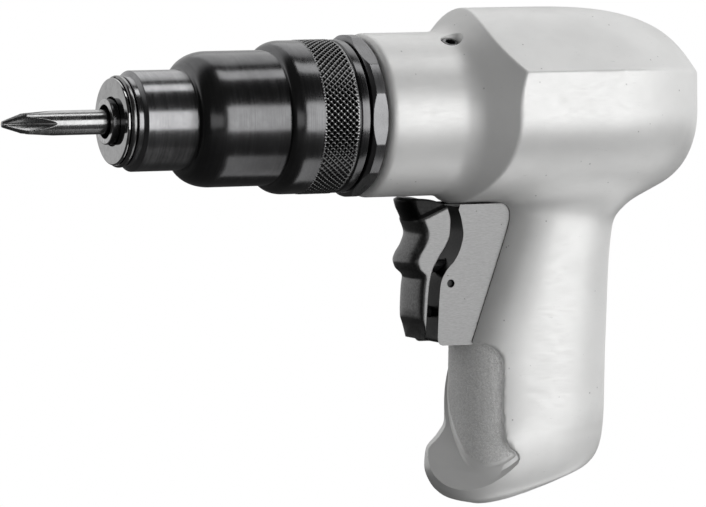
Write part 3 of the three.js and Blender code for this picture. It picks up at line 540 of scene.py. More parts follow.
def screwdriver_bit(material):
    """A cross-point bit: a ground tip with four flutes, a round shank and a grooved hexagon."""
    tip, shank, flats, round_end = -33.4, 3.3, 6.35, -2.8
    corner = flats / 2 / math.cos(math.pi / 6)
    groove, end = 7.3, 16.8
    profile = [
        (tip, 0.65), (tip + 0.15, 0.85), (tip + 5.7, 3.05), (tip + 6.1, 3.22), (tip + 6.8, shank),
        (round_end, shank), (round_end + 1.1, corner - 0.06), (round_end + 1.4, corner),
        (groove - 1.6, corner), (groove - 0.9, 2.9), (groove - 0.5, 2.82), (groove + 0.5, 2.82),
        (groove + 0.9, 2.9),
        (groove + 1.6, corner), (end - 0.9, corner), (end - 0.2, 3.05), (end, 2.9),
    ]
    stations = np.concatenate([
        [tip, tip + 0.04, tip + 0.1], np.arange(tip + 0.15, -17.6, 0.16), np.arange(-17.4, -3, 0.8),
        np.arange(round_end - 0.1, 0, 0.2), [1, 3], np.arange(5.2, 9.4, 0.2), [12, end - 1],
        np.arange(end - 0.9, end, 0.2), [end],
    ])
    segments = 288
    angles = 2 * math.pi * np.arange(segments) / segments
    hexagon = hexagon_radius(angles, flats / 2, 0.12)
    wheel, depth, half_angle = 42.0, 2.35, math.tan(math.radians(43))
    local = (angles + math.pi / 4) % (math.pi / 2) - math.pi / 4
    rings = []
    for s in stations:
        turned = np.interp(s, *zip(*profile))
        radius = np.full(segments, turned)
        if s > round_end:
            radius = soft_min(radius, hexagon, 0.08)
        run = s - (tip + 0.9)
        if abs(run) < wheel:
            bottom = wheel + 3.2 - depth - math.sqrt(wheel**2 - run**2)
            side_slope = np.sqrt(np.sin(local) ** 2 + 0.06) - 0.19
            reach = half_angle * np.cos(local) - side_slope
            open_flute = reach > 0.02
            flute = np.where(open_flute, bottom * half_angle / np.where(open_flute, reach, 1), 99)
            radius = soft_min(radius, np.minimum(flute, 9), 0.10)
        rings.append(circle_ring(s, radius, segments))
    obj = mesh_object("screwdriver_bit_visual", *ring_mesh(rings), 45)
    finish_piece(obj, material, "bit", "screwdriver_bit")


def bit_holder(material):
    profile = [
        (HOLDER_FRONT, 4.55, 0.12), (HOLDER_FRONT, 6.1, 0.3), (0, 6.1, 0.05), (0, 6.5, 0.1),
        (26.4, 6.5, 0.1), (26.4, 13, 0.2), (32.3, 13, 0.2), (32.3, 6.7, 0.1), (29.6, 6.7, 0.1),
        (29.6, 4.2, 0.1), (-0.9, 4.2, 0.1),
    ]
    obj = lathe("bit_holder_visual", rounded(profile, closed=True), 160)
    finish_piece(obj, material, "spindle", "bit_holder")


def nose_bushing(material):
    profile = [
        (NOSE_FACE, 6.6, 0.12), (NOSE_FACE, 11.6, 0.35), (NOSE_FACE + 0.75, 11.6, 0.1),
        (NOSE_FACE + 0.75, 10, 0.05), (17, 10, 0.4), (17, 6.6, 0.1),
        (9, 6.6, 0.05), (9, 8.2, 0.1), (2, 8.2, 0.1), (2, 6.6, 0.05),
    ]
    obj = lathe("nose_bushing_visual", rounded(profile, closed=True), 192)
    finish_piece(obj, material, "clutch_adjuster", "nose_bushing")


def retaining_ring(material):
    """A round-edged wire ring with its split at the top."""
    centre, outer, inner, half = NOSE_FACE + 1.875, 12.3, 10.32, 0.82
    half_split = 0.8 / outer
    front, rear = centre - half, centre + half
    corners = [(front, inner), (front, outer, 0.7), (rear, outer, 0.7), (rear, inner)]
    section = rounded(corners, 0.25, closed=True, steps=6)
    rings = []
    for angle in np.linspace(math.pi / 2 + half_split, math.pi * 2.5 - half_split, 180):
        rings.append([(s, r * math.cos(angle), r * math.sin(angle)) for s, r in section])
    obj = mesh_object("retaining_ring_visual", *ring_mesh(rings))
    finish_piece(obj, material, "clutch_adjuster", "retaining_ring")


def clutch_housing(material):
    """The turned housing with two shoulders and a diamond knurl."""
    collar, start, pits_round, pitch = COLLAR_RADIUS, NOSE_FACE + 3, 78, 1.8
    front = rounded([
        (17.3, 10.3), (start, 10.3, 0.1), (start, 12.1, 0.2), (start + 1.4, 12.1, 0.15),
        (start + 2.2, 13.5, 0.25), (17.2, 13.5, 0), (17.5, 13.56, 0), (17.7, 13.85, 0),
        *shoulder(17.6, 25.5, 13.5, 18.25)[2:],
        (41.8, 18.25, 0), (42.25, 18.33, 0), (42.45, 18.75, 0), *shoulder(42.3, 46.8, 18.25, collar)[3:],
        (47.6, collar, 0), (50.6, collar, 0), (51, collar, 0), (KNURL_START, collar, 0),
    ])
    rear = rounded([
        (KNURL_END, KNURL_RADIUS - 0.15, 0), (61.3, KNURL_RADIUS - 0.2, 0.1), (61.55, 20.2, 0.1),
        (61.75, 20.2, 0.1), (62.1, collar, 0.12), (64.5, collar, 0.45), (64.5, THREAD_RADIUS, 0.1),
        (45.5, THREAD_RADIUS, 0.1), (43, 15.4, 0.2),
        (25, 15.4, 0.2), (25, 9, 0.2), (18, 9, 0.1), (17.3, 10.3, 0.1),
    ])
    segments = pits_round * 8
    turns = np.arange(segments) / segments * pits_round
    rings = [circle_ring(s, r, segments) for s, r in front]
    rows = int(round((KNURL_END - KNURL_START) / pitch * 6))
    for row in range(1, rows):
        station = KNURL_START + (KNURL_END - KNURL_START) * row / rows
        along = row / 6
        distance = [np.abs((turns + sign * along + 0.5) % 1 - 0.5) for sign in (-1, 1)]
        ridge = np.maximum(*[np.clip(1.15 - d / 0.3, 0, 1) for d in distance])
        fade = min(1, row / 2, (rows - row) / 2)
        radius = KNURL_RADIUS - 0.6 * fade * (1 - ridge) - 0.12 * (1 - fade)
        rings.append(circle_ring(station, radius, segments))
    rings += [circle_ring(s, r, segments) for s, r in rear]
    obj = mesh_object("clutch_housing_visual", *ring_mesh(rings, closed=True), 50)
    finish_piece(obj, material, "clutch_adjuster", "clutch_housing")


def jam_nut(material):
    """A turned ring with six flats and chamfered corners."""
    start, end, radius, inner, chamfer = 65.1, 69.5, 21.9, THREAD_RADIUS, 0.95
    segments = 720
    angles = 2 * math.pi * np.arange(segments) / segments
    hexagon = hexagon_radius(angles, radius * math.cos(math.radians(18)))
    rings = [circle_ring(start + 0.1, inner, segments), circle_ring(start, inner + 0.1, segments)]
    chamfered, middle = np.arange(start + 0.06, start + 1.3, 0.09), np.linspace(start + 1.4, end - 1.4, 12)
    stations = np.concatenate([[start], chamfered, middle])
    stations = np.concatenate([stations, (start + end) - stations[::-1][12:]])
    for s in stations:
        edge = min(s - start, end - s)
        turned = radius - 1.05 * max(0, chamfer - edge)
        turned -= 0.12 * max(0, 1 - edge / 0.12) ** 2
        rings.append(circle_ring(s, soft_min(np.full(segments, turned), hexagon, 0.10), segments))
    rings += [circle_ring(end, inner + 0.1, segments), circle_ring(end - 0.1, inner, segments)]
    obj = mesh_object("jam_nut_visual", *ring_mesh(rings, closed=True), 30)
    finish_piece(obj, material, "lock_nut", "jam_nut")


# ---------- casting ----------


def flare_station(radius):
    """Station at which the turned front of the hood has that radius."""
    fillet_end = BODY_RADIUS + FLARE_FILLET * (1 - math.sqrt(0.5))
    drop = BODY_RADIUS + FLARE_FILLET - np.minimum(radius, fillet_end)
    in_fillet = FLARE_START + np.sqrt(FLARE_FILLET**2 - drop**2)
    return np.where(radius >= fillet_end, radius + FLARE_OFFSET, in_fillet)


def flare_radius(station):
    run = np.clip(station - FLARE_START, 0, FILLET_RUN)
    in_fillet = BODY_RADIUS + FLARE_FILLET - np.sqrt(FLARE_FILLET**2 - run**2)
    return np.where(station >= FLARE_START + FILLET_RUN, station - FLARE_OFFSET, in_fillet)


def rear_taper(station, sharpness, root):
    t = min(max((station - HOOD_START) / (HOOD_END - HOOD_START), 0), 1)
    return (1 - t**sharpness) ** (1 / root)


def hood_section(station, roof_steps=36, side_steps=12, keel_steps=44):
    """The hood's closed section, as y and z columns, from the ridge round by the near side."""
    width = rear_taper(station, 3.3, 2.2)
    rise = ROOF_RISE * rear_taper(station, 2.8, 2)
    depth = HOOD_DEPTH * rear_taper(station, 5, 2.6)
    crease = CREASE_HEIGHT * width**0.25
    v = CREASE_HALF_WIDTH * np.arange(roof_steps + 1) / roof_steps
    slope = np.hypot(v, ROOF_ROUNDING) - ROOF_ROUNDING
    angle = math.pi / 2 * np.arange(keel_steps + 1) / keel_steps
    side = np.arange(1, side_steps) / side_steps
    bulge = CREASE_HALF_WIDTH + (HOOD_HALF_WIDTH - CREASE_HALF_WIDTH) * side
    y = np.concatenate([v, bulge, HOOD_HALF_WIDTH * np.cos(angle)]) * width
    z = np.concatenate([crease + rise * (1 - slope / slope[-1]), crease * (1 - side), -depth * np.sin(angle)])
    return np.column_stack([np.concatenate([y, -y[-2:0:-1]]), np.concatenate([z, z[-2:0:-1]])])


def upper_body():
    """The turned front, its flare and the hood, as one closed loft."""
    edge = hood_section(HOOD_START)
    reach = np.hypot(edge[:, 0], edge[:, 1])

    def on_circle(station, radius):
        return np.column_stack([np.broadcast_to(station, reach.shape), edge * (radius / reach)[:, None]])

    rings = [on_circle(BODY_START, BODY_RADIUS - 1.3), on_circle(BODY_START + 0.4, BODY_RADIUS - 0.4)]
    rings += [on_circle(s, BODY_RADIUS) for s in np.linspace(BODY_START + 1.4, FLARE_START, 20)]
    edge_station = flare_station(reach)
    for row in range(1, 15):
        station = FLARE_START + (edge_station - FLARE_START) * row / 14
        rings.append(on_circle(station, flare_radius(station)))
    rows = 70
    for row in range(1, rows + 1):
        t = math.sin(math.pi / 2 * row / rows)
        station = HOOD_START + (HOOD_END - 0.2 - HOOD_START) * t
        section = hood_section(station)
        rings.append(np.column_stack([np.full(len(section), station), section]))
    return mesh_object("upper_body", *ring_mesh(rings))


# Rings of the grip: front station, front height, back station, back height, half width.
GRIP_RINGS = [
    (104, -5, 156, -5, 17), (108, -18, 153.5, -18, 17), (112.2, -24.5, 148.5, -25, 16.6),
    (110.6, -31, 145, -31, 16), (106.4, -43, 143.8, -43, 16), (100.6, -59, 143.4, -59, 16),
    (98.7, -65, 143.2, -65, 16), (98.4, -75, 143, -74, 16), (98.4, -84.5, 142.9, -80, 16),
    (96.2, -88.6, 142.8, -83.8, 16), (92.6, -92.6, 142.6, -87.2, 15.9), (92.1, -97.2, 142.1, -90.4, 15.6),
    (93.8, -101.8, 140.8, -93.8, 15), (98.4, -105.7, 138, -96.6, 13.8), (104.5, -107.1, 133.5, -98.4, 11),
]
# Rings of the same kind for what the finger flute leaves standing.
SHAFT_RINGS = [
    (106.4, -43, 143.8, -43, 15.3), (100.9, -59, 143.2, -59, 15.3), (99.5, -65, 143, -65, 15.3),
    (99.4, -75, 142.8, -74, 15.3), (99.5, -84.5, 142.6, -80, 15.3), (99.5, -96.6, 141.8, -89.5, 15.3),
    (99.5, -110, 139, -110, 15.3),
]


def grip_loft(name, rows, power=0.8, count=120):
    """A loft through grip rings, with superellipse sections."""
    angles = 2 * math.pi * np.arange(count) / count
    cos, sin = np.cos(angles), np.sin(angles)
    along = (1 + np.sign(cos) * np.abs(cos) ** power) / 2
    across = np.sign(sin) * np.abs(sin) ** power
    rings = []
    for front_x, front_z, back_x, back_z, half in spline_rows(rows, 5):
        x = front_x + (back_x - front_x) * along
        z = front_z + (back_z - front_z) * along
        rings.append(np.column_stack([x, -half * across, z]))
    return mesh_object(name, *ring_mesh(rings))


FLUTE_TOP, FLUTE_BACK, FLUTE_CORNER = -62.3, 107.6, 6.0
SHELF_POINT = Vector((98.3, 0.5, -89.7))
SHELF_NORMAL = Vector((-0.570, -0.641, 0.514)).normalized()
SHELF_SPARE = 0.7  # metal left on the shelf until the casting is smoothed


def flute_back(height):
    """Station of the flute's rear edge, which swells just above the toe."""
    return FLUTE_BACK + 4.2 * math.exp(-(((height + 94) / 3.4) ** 2))


def flute_outline():
    """Side outline of the cast finger flute, whose edge wanders as the belt left it."""
    middle_s, middle_h = FLUTE_BACK - FLUTE_CORNER, FLUTE_TOP - FLUTE_CORNER
    angles = np.linspace(0, math.pi / 2, 10)
    corner = [(middle_s + FLUTE_CORNER * math.sin(a), middle_h + FLUTE_CORNER * math.cos(a)) for a in angles]
    edge = [(flute_back(h) + RNG.uniform(-0.22, 0.22), h) for h in np.arange(-70, -99, -1.0)]
    return [(80, FLUTE_TOP), *corner, *edge, (106, -103), (96, -112), (80, -112)]


def prism(name, outline, half):
    """A prism across the tool from an outline of station and height."""
    count = len(outline)
    points = [(s, side * half, h) for side in (-1, 1) for s, h in outline]
    faces = [tuple(range(count)), tuple(range(2 * count - 1, count - 1, -1))]
    for i in range(count):
        j = (i + 1) % count
        faces.append((j, i, count + i, count + j))
    return mesh_object(name, points, faces)


def half_space(point, normal, size=60.0):
    """A large slab whose face passes through the point, lying on the normal's side."""
    turn = normal.to_track_quat("Z", "Y").to_matrix().to_4x4()
    square = ((-size, -size), (size, -size), (size, size), (-size, size))
    points = [tuple(point + turn @ Vector((x, y, z))) for z in (0, size) for x, y in square]
    faces = [(0, 3, 2, 1), (4, 5, 6, 7), (0, 1, 5, 4), (1, 2, 6, 5), (2, 3, 7, 6), (3, 0, 4, 7)]
    return mesh_object("slab", points, faces)


def tilted(obj, station, height):
    """Points a body drawn along +X up the grip from its slanted end."""
    turn = Matrix.Rotation(-math.pi / 2 - INLET_TILT, 4, "Y")
    return moved(obj, Matrix.Translation((station, 0, height)) @ turn)


def rod(start, end, radius, segments):
    """A round cutting tool along +X."""
    return lathe("tool", [(start, radius), (end, radius)], segments, closed=False)


def level_rod(start, end, radius, height, segments=40):
    """A round cutting tool along +X at a height."""
    return moved(rod(start, end, radius, segments), Matrix.Translation((0, 0, height)))


def passage(start, end, radius):
    """A round air passage between two points of station and height."""
    run, rise = end[0] - start[0], end[1] - start[1]
    turn = Matrix.Rotation(-math.atan2(rise, run), 4, "Y")
    tool = rod(0, math.hypot(run, rise), radius, 40)
    return moved(tool, Matrix.Translation((start[0], 0, start[1])) @ turn)


def tree_of(obj):
    points = [v.co.copy() for v in obj.data.vertices]
    return BVHTree.FromPolygons(points, [tuple(p.vertices) for p in obj.data.polygons])


def signed_distance(tree, point):
    """Distance in millimetres from the surface, positive outside, and its outward direction.

    The points asked for lie on the outside of the whole casting, so a distant one is outside.
    """
    place, normal, _, distance = tree.find_nearest(point)
    offset = point - place
    sign = 1 if distance > 3 * MM or offset.dot(normal) >= 0 else -1
    direction = offset * sign
    direction = direction.normalized() if distance > 1e-6 else normal
    return sign * distance / MM, direction


def project_on(mesh, trees, blend):
    """Moves each vertex onto the rounded union of the surfaces in trees."""
    moved_points = []
    for vertex in mesh.vertices:
        point = vertex.co.copy()
        (da, na), (db, nb) = [signed_distance(tree, point) for tree in trees]
        h = min(max(0.5 + 0.5 * (db - da) / blend, 0), 1)
        distance = db + (da - db) * h - blend * h * (1 - h)
        normal = na * h + nb * (1 - h)
        if normal.length > 1e-6:
            point -= normal.normalized() * max(-2.5, min(2.5, distance)) * MM
        moved_points.extend(point)
    mesh.vertices.foreach_set("co", moved_points)
    mesh.update()


def smooth_mesh(obj, factor, repeat):
    modifier = obj.modifiers.new("smooth", "SMOOTH")
    modifier.factor, modifier.iterations = factor, repeat
    bake_modifiers(obj)


def flute_tool(outline, lift, spare):
    """What the flute takes away, above its shelf plane raised by lift and spare clear of the shaft."""
    tool = prism("flute", outline, 30)
    boolean(tool, half_space(SHELF_POINT + SHELF_NORMAL * lift, SHELF_NORMAL), "INTERSECT")
    rows = [(fx - spare, fz, bx, bz, half + spare) for fx, fz, bx, bz, half in SHAFT_RINGS]
    return boolean(tool, grip_loft("shaft", rows, 0.82))


def handle_casting(material):
    """The handle: body and grip joined with a soft fillet, then the flute and all bores cut."""
    grip = grip_loft("grip", GRIP_RINGS)
    outline = flute_outline()
    boolean(grip, flute_tool(outline, SHELF_SPARE, 0.0))
    body = upper_body()
    trees = [tree_of(body), tree_of(grip)]
    boolean(body, grip, "UNION")
    body.name = "handle_casting"
    remesh = body.modifiers.new("remesh", "REMESH")
    remesh.mode, remesh.voxel_size, remesh.use_smooth_shade = "VOXEL", 0.62 * MM, True
    bake_modifiers(body)
    for _ in range(3):
        smooth_mesh(body, 0.5, 1)
        project_on(body.data, trees, 6.5)
    smooth_mesh(body, 0.5, 2)
    mark_cast_skin(body)
    boolean(body, flute_tool(outline, 0.0, 0.25))
    cuts = [
        rod(BODY_START - 1, 150, BODY_BORE, 160),
        level_rod(90, 130.3, 7.2, STEM_HEIGHT, 64),
        passage((117.8, STEM_HEIGHT), (120.5, -12), 2.1),
        tilted(rod(-5, 13.3, 9.2, 96), INLET_STATION, INLET_BOTTOM),
        tilted(rod(-5, 7.3, 4.4, 64), EXHAUST_STATION, EXHAUST_BOTTOM),
        passage((111, -93), (126, STEM_HEIGHT), 3.8),
        passage((129, -95), (137.4, -60), 2.6),
        passage((137.4, -60.5), (138.4, -12), 2.6),
        prism("tool", block_outline(CLEARANCE), BLOCK_HALF_WIDTH + CLEARANCE),
        at_plug(lathe("tool", [(-2, 3.2), (0.35, 2.85), (0.6, 2.7), (3.7, 2.7)], 64, closed=False)),
    ]
    for tool in cuts:
        boolean(body, tool)
    shade(body, 34)
    finish_piece(body, material, "root", "handle_housing")


def mark_cast_skin(obj):
    """Roughens the finger flute and stores where the cast skin shows, for the material."""
    mesh = obj.data
    skin = mesh.attributes.new("cast_skin", "FLOAT", "POINT")
    values = np.zeros(len(mesh.vertices), np.float32)
    for i, vertex in enumerate(mesh.vertices):
        s, h = (vertex.co.x - ZERO_X) / MM, (vertex.co.z - AXIS_Z) / MM
        if h > FLUTE_TOP + 1 or s > 115 or h < -104:
            continue
        clear_of_shelf = (Vector((s, vertex.co.y / MM, h)) - SHELF_POINT).dot(SHELF_NORMAL)
        inside = min(inside_flute(s, h), (clear_of_shelf - SHELF_SPARE - 0.3) / 0.8)
        value = min(max(inside, 0), 1)
        values[i] = value
        if value > 0.05:
            place = vertex.co / MM
            relief = noise.noise(place * 0.9) * 0.10 + noise.noise(place * 2.1) * 0.05
            vertex.co += vertex.normal * relief * value * MM
    skin.data.foreach_set("value", values)


def inside_flute(station, height):
    """How far inside the flute's side outline a point lies: 0 just outside its edge, 1 just inside."""
    back = flute_back(height) - 1.5 * max(-98 - height, 0)
    over = height - (FLUTE_TOP - FLUTE_CORNER)
    behind = station - (back - FLUTE_CORNER)
    if over > 0 and behind > 0:
        gap = FLUTE_CORNER - math.hypot(over, behind)
    else:
        gap = min(back - station, FLUTE_TOP - height)
    return gap / 1.2 + 0.5


# ---------- trigger group and fittings ----------

BLOCK_TOP, BLOCK_BOTTOM = -25.2, -62.2
BLOCK_FRONT = [
    (97.4, BLOCK_TOP), (98.4, -28.5), (99, -32.5), (98.3, -36), (96.3, -40), (93.6, -43), (92.2, -46),
    (91.7, -51), (91.3, -60.3),
]
FRONT_EASE, EDGE_EASE = 1.5, 0.6  # how far the block's edges are rounded, in front and elsewhere


def block_outline(clearance):
    """Side outline of the pocket that the block fills."""
    rear = [(103.1 + clearance, BLOCK_BOTTOM - clearance), (113.7 + clearance, BLOCK_TOP + 3 * clearance)]
    return [*BLOCK_FRONT, (92.3, BLOCK_BOTTOM - clearance), *rear]


def trigger_block(material):
    """The block behind the trigger: a smooth S-shaped front with rounded edges, and ground sides."""
    front = [tuple(p) for p in spline_rows(BLOCK_FRONT, 6)]
    bottom = BLOCK_BOTTOM + 0.05
    corners = [(91.4, bottom, 1.6), (103, bottom, 1.3), (113.6, BLOCK_TOP - 0.1, 0.3)]
    corners = rounded([front[-1], *corners, front[0]], steps=6)
    outline = np.array([*front[:-1], *corners[:-1]])[::-1]
    tangent = np.roll(outline, -1, 0) - np.roll(outline, 1, 0)
    inward = np.column_stack([-tangent[:, 1], tangent[:, 0]])
    inward /= np.linalg.norm(inward, axis=1)[:, None]
    ease = np.where(inward[:, 0] > 0.5, FRONT_EASE, EDGE_EASE)
    for _ in range(6):
        ease = (np.roll(ease, 1) + ease + np.roll(ease, -1)) / 3
    rings = []
    for side in (-1, 1):
        for angle in np.linspace(0, math.pi / 2, 7)[::-side]:
            place = outline + inward * (ease * (1 - math.sin(angle)))[:, None]
            y = side * (BLOCK_HALF_WIDTH - ease * (1 - math.cos(angle)))
            rings.append(np.column_stack([place[:, 0], y, place[:, 1]]))
    obj = mesh_object("trigger_block_visual", *ring_mesh(rings, flat_caps=True), 25)
    pin_place = Matrix.Translation((BLOCK_PIN_STATION, 0, BLOCK_PIN_HEIGHT))
    boolean(obj, moved(rod(-12, 12, 1.12, 48), pin_place @ Matrix.Rotation(math.pi / 2, 4, "Z")))
    boolean(obj, level_rod(90, 120, STEM_BORE, STEM_HEIGHT))
    boolean(obj, level_rod(90, 120, GUIDE_BORE, GUIDE_HEIGHT))
    shade(obj, 25)
    finish_piece(obj, material, "root", "trigger_block")


# Rings of the trigger: height, front station, rear station, half width, rise of the front.
TRIGGER_RINGS = [
    (-24.1, 82.9, 92.5, 6.9, 1.5), (-24.6, 81.9, 93.5, 7.3, 1.3), (-26.2, 82.3, 94.2, 7.3, 1.2),
    (-29, 83.8, 94.8, 7.3, 0.8), (-32.4, 85.3, 94.6, 7.3, 0), (-35.3, 84.4, 93.5, 7.3, 0),
    (-38, 82.7, 91.7, 7.3, 0), (-39.8, 82.1, 90.6, 7.3, 0), (-41.8, 82.7, 89.5, 7.3, 0),
    (-44.6, 85.2, 88.7, 7.3, 0), (-47, 84.9, 88.3, 7.3, 0), (-53, 84.7, 87.8, 7.3, 0.6),
    (-56.5, 84.8, 87.6, 7.3, 2.2), (-59.5, 85, 87.4, 7.2, 4), (-61.2, 85.5, 87.3, 6.4, 5.1),
]


def cast_side_inset(station, height):
    """How much narrower the trigger is above the line where its ground sides end."""
    over = height - (CAST_SIDE_FOOT + CAST_SIDE_RISE * (station - CAST_SIDE_START))
    return 1.3 * min(max(over, 0), 1)


def trigger(material):
    """The two-finger trigger, with a rounded front and ground sides."""
    rings, corner = [], 0.5
    turns = np.linspace(0, math.pi / 2, 5)
    quarter = [(corner * math.sin(a) - corner, corner * math.cos(a) - corner) for a in turns]
    for height, front, rear, half, rise in spline_rows(TRIGGER_RINGS, 8):
        cheek = min(3.3, (rear - front) * 0.72)
        plan = [(rear + x, half + y) for x, y in quarter]
        plan += [(x, -y) for x, y in reversed(plan)]
        side = np.linspace(rear - corner, front + cheek, 14)[1:-1]
        plan += [(x, -half) for x in side]
        for a in np.linspace(0, math.pi, 49):
            plan.append((front + cheek * (1 - math.sin(a) ** 0.9), -half * math.cos(a)))
        plan += [(x, half) for x in side[::-1]]
        ring = []
        for x, y in plan:
            z = height + rise * (1 - ((x - front) / (rear - front)) ** 3)
            ring.append((x, y * (1 - cast_side_inset(x, z) / TRIGGER_HALF_WIDTH), z))
        rings.append(ring)
    obj = mesh_object("trigger_visual", *ring_mesh(rings), 60)
    boolean(obj, level_rod(86.2, 96.2, STEM_BORE, STEM_HEIGHT))
    boolean(obj, level_rod(86.2, 96.2, GUIDE_BORE, GUIDE_HEIGHT))
    shade(obj, 50)
    finish_piece(obj, material, "trigger", "trigger")


def at_plug(obj):
    """Stands a body made along +X on the plug's radial axis; zero depth lies on the casting."""
    down = Matrix.Rotation(math.pi / 2, 4, "Y")
    lift = Matrix.Translation((0, 0, float(flare_radius(np.array(PLUG_STATION)))))
    lean = Matrix.Rotation(PLUG_ANGLE, 4, "X")
    return moved(obj, Matrix.Translation((PLUG_STATION, 0, 0)) @ lean @ lift @ down)


def plug_screw(material):
    """A socket set screw with a hexagonal key hole."""
    segments = 96
    angles = 2 * math.pi * np.arange(segments) / segments
    key = hexagon_radius(angles, 1.25)
    profile = [
        (2.7, 1e-3), (2.7, 2.2), (2.5, 2.38), (0.95, 2.38), (0.7, 2.25), (0.62, 2.1),
        (0.62, key + 0.22), (0.8, key), (2.1, key), (2.1, 1e-3),
    ]
    rings = [circle_ring(station, radius, segments) for station, radius in profile]
    obj = at_plug(mesh_object("plug_screw_visual", *ring_mesh(rings)))
    finish_piece(obj, material, "root", "plug_screw")


def inlet_bushing(material):
    """The air inlet bushing, with its pipe thread cut inside."""
    outer = rounded([(0.2, 6.3, 0.1), (0.2, 8.9, 0.5), (13, 8.9, 0.2), (13, 5.75, 0.1)])
    thread, pitch = [], 1.41
    for i in range(8):
        top = 12.6 - i * pitch
        thread += [(top, 5.75), (top - 0.35 * pitch, 6.35), (top - 0.65 * pitch, 6.35)]
    obj = lathe("inlet_bushing_visual", [*outer, *thread, (0.7, 5.9)], 160, smooth_angle=30)
    finish_piece(tilted(obj, INLET_STATION, INLET_BOTTOM), material, "root", "inlet_bushing")


# ---------- build ----------

aluminium = cast_aluminium()
black = black_steel("black_steel")
nut_steel = black_steel("jam_nut_steel", 0.25, 0.4, 0.27)
bright = bright_steel(base=0.5)
satin = bright_steel("satin_steel", 0.5, 0.03, 0.1)
ring_steel = bright_steel("ring_steel", 0.35, 0.12, 0.3)
tool_steel = plain_metal("tool_steel", (0.35, 0.35, 0.36), 0.35)
pin_shade_paint = matte("pin_painted_shade", (0.015, 0.015, 0.016), 0.45)
bronze = plain_metal("bronze", (0.55, 0.38, 0.18), 0.4)
rubber = matte("rubber", (0.03, 0.03, 0.03), 0.8)
phenolic = matte("phenolic", (0.28, 0.14, 0.06), 0.6)

screwdriver_bit(bright)
bit_holder(holder_steel())
nose_bushing(satin)
retaining_ring(ring_steel)
clutch_housing(knurled_steel())
jam_nut(nut_steel)
handle_casting(aluminium)
trigger(trigger_metal("trigger_metal", TRIGGER_HALF_WIDTH, 0.13))
# Painted shade: the block's cast black is far darker than the trigger's (0.015 against 0.13), standing in for
# the shade of the slot behind the trigger.
trigger_block(trigger_metal("trigger_block_metal", BLOCK_HALF_WIDTH, 0.015))
plug_screw(black)
inlet_bushing(black)

BY_SLOT = {
    "cast_aluminium": aluminium, "black_steel": black, "bright_steel": bright, "trigger_metal": black,
    "tool_steel": tool_steel, "bronze": bronze, "rubber": rubber, "phenolic": phenolic,
}
# Painted shade: block_pin is coloured near-black in place of its slot's bright steel, standing in for the
# shade of its hole; the throttle stem and guide pin, seen in their bores, are coloured the same.
PINS_IN_PAINTED_SHADE = ("block_pin", "throttle_stem", "trigger_guide_pin")
for part in frame["record"]["subparts"]:
    materials = frame["nodes"][part["node"]].data.materials
    for index in range(len(materials)):
        materials[index] = pin_shade_paint if part["node"] in PINS_IN_PAINTED_SHADE else BY_SLOT[part["material_slot"]]

# ---------- stage ----------

SHADE_SIDE, BACKDROP, RIGHT_WALL, PAPER_WHITE = 0.03, 0.62, 0.85, 1.0

scene = bpy.context.scene


def area_light(name, place, target, width, height, power, mirrored=True):
    """A soft light panel, in metres and watts, that shows in reflections if it is mirrored."""
    data = bpy.data.lights.new(name, "AREA")
    data.shape, data.size, data.size_y, data.energy = "RECTANGLE", width, height, power
    obj = bpy.data.objects.new(name, data)
    scene.collection.objects.link(obj)
    obj.location = place
    obj.rotation_mode = "QUATERNION"
    obj.rotation_quaternion = (Vector(target) - Vector(place)).to_track_quat("-Z", "Y")
    obj.visible_camera = False
    obj.visible_glossy = mirrored


def floor(height, radius):
    """A pale round floor, which mirrors in the object as a darker one."""
    graph = Graph("floor_paint")
    pale = graph.remap(graph.noise(0.004, 3.0), 0.3, 0.7, 0.78, 0.82)
    seen = graph.node("ShaderNodeLightPath").outputs["Is Camera Ray"]
    value = graph.remap(seen, 0.0, 1.0, 0.05, pale, smooth=False)
    material = graph.surface(base_color=graph.grey(value), roughness=0.7)
    rim = circle_ring(0, radius, 96)[:, [1, 2, 0]] + (0, 0, height)
    obj = mesh_object("floor", rim, [tuple(range(len(rim)))], in_row=True)
    obj.data.materials.append(material)


FLOOR_Z = CAD_BOX[0].z - 0.27
floor(FLOOR_Z, 2.1)
area_light("overhead_front", (0.56, -0.16, 1.0), (0.56, -0.16, 0), 1.08, 0.3, 1.8)
area_light("overhead_back", (0.56, 0.9, 1.0), (0.56, 0.9, 0), 1.08, 1.35, 2.2)
area_light("near_side", (0.52, -1.1, -0.03), (0, 0, 0), 0.9, 1.25, 6.6)
area_light("left_strip", (-0.55, -1.07, 0.06), (0, 0, 0.06), 0.95, 0.42, 0.6)
area_light("under", (0.3, -0.04, FLOOR_Z + 0.02), (0.3, -0.04, 1), 0.54, 0.3, 0.35)
area_light("fill", (-0.3, -1.18, -0.28), (0, 0, 0), 1.0, 0.9, 9.0, mirrored=False)


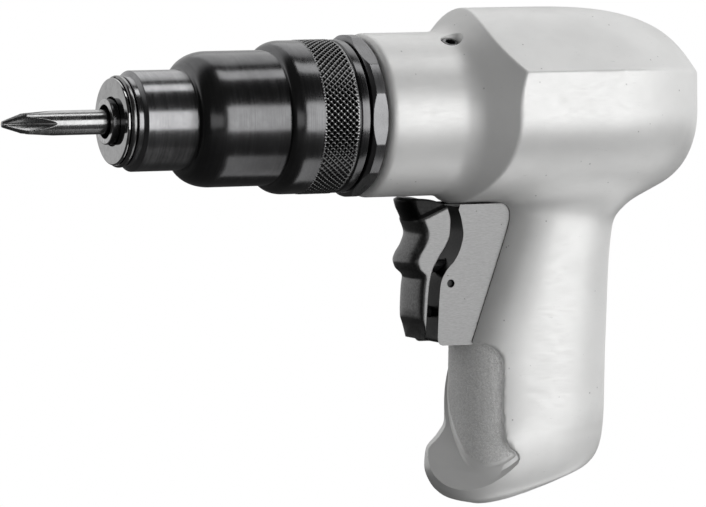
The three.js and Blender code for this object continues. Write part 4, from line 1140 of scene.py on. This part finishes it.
def studio_world():
    """Pale behind the object and to its right, dark elsewhere; seen directly it is white all round."""
    world = bpy.data.worlds.new("studio")
    world.use_nodes = True
    tree = world.node_tree
    nodes, link = tree.nodes, tree.links.new
    nodes.clear()
    direction = nodes.new("ShaderNodeTexCoord").outputs["Generated"]
    parts = nodes.new("ShaderNodeSeparateXYZ")
    link(direction, parts.inputs[0])

    def ramp(axis, low, high, level):
        node = nodes.new("ShaderNodeMapRange")
        node.interpolation_type = "SMOOTHSTEP"
        link(parts.outputs[axis], node.inputs["Value"])
        for index, value in ((1, low), (2, high), (3, SHADE_SIDE), (4, level)):
            node.inputs[index].default_value = value
        return node.outputs[0]

    brighter = nodes.new("ShaderNodeMath")
    brighter.operation = "MAXIMUM"
    link(ramp("Y", 0.1, 0.5, BACKDROP), brighter.inputs[0])
    link(ramp("X", 0.6, 0.75, RIGHT_WALL), brighter.inputs[1])
    shown = nodes.new("ShaderNodeMix")
    link(nodes.new("ShaderNodeLightPath").outputs["Is Camera Ray"], shown.inputs[0])
    link(brighter.outputs[0], shown.inputs[2])
    shown.inputs[3].default_value = PAPER_WHITE
    background = nodes.new("ShaderNodeBackground")
    link(shown.outputs[0], background.inputs["Color"])
    link(background.outputs[0], nodes.new("ShaderNodeOutputWorld").inputs[0])
    return world


scene.world = studio_world()
scene.view_settings.view_transform = "Standard"

# ---------- camera ----------

AZIMUTH, ELEVATION, DISTANCE = math.radians(-25), math.radians(4.4), 1.6
FRAME_WIDTH = 0.1913
TARGET = Vector((-0.0523, 0.0, 0.0286))
camera_data = bpy.data.cameras.new("camera")
camera_data.sensor_width = 36
camera_data.lens = 36 * DISTANCE / FRAME_WIDTH
camera = bpy.data.objects.new("camera", camera_data)
scene.collection.objects.link(camera)
level = math.cos(ELEVATION)
back = Vector((math.sin(AZIMUTH) * level, -math.cos(AZIMUTH) * level, math.sin(ELEVATION)))
camera.location = TARGET + back * DISTANCE
camera.rotation_mode = "QUATERNION"
camera.rotation_quaternion = (-back).to_track_quat("-Z", "Y")
scene.camera = camera
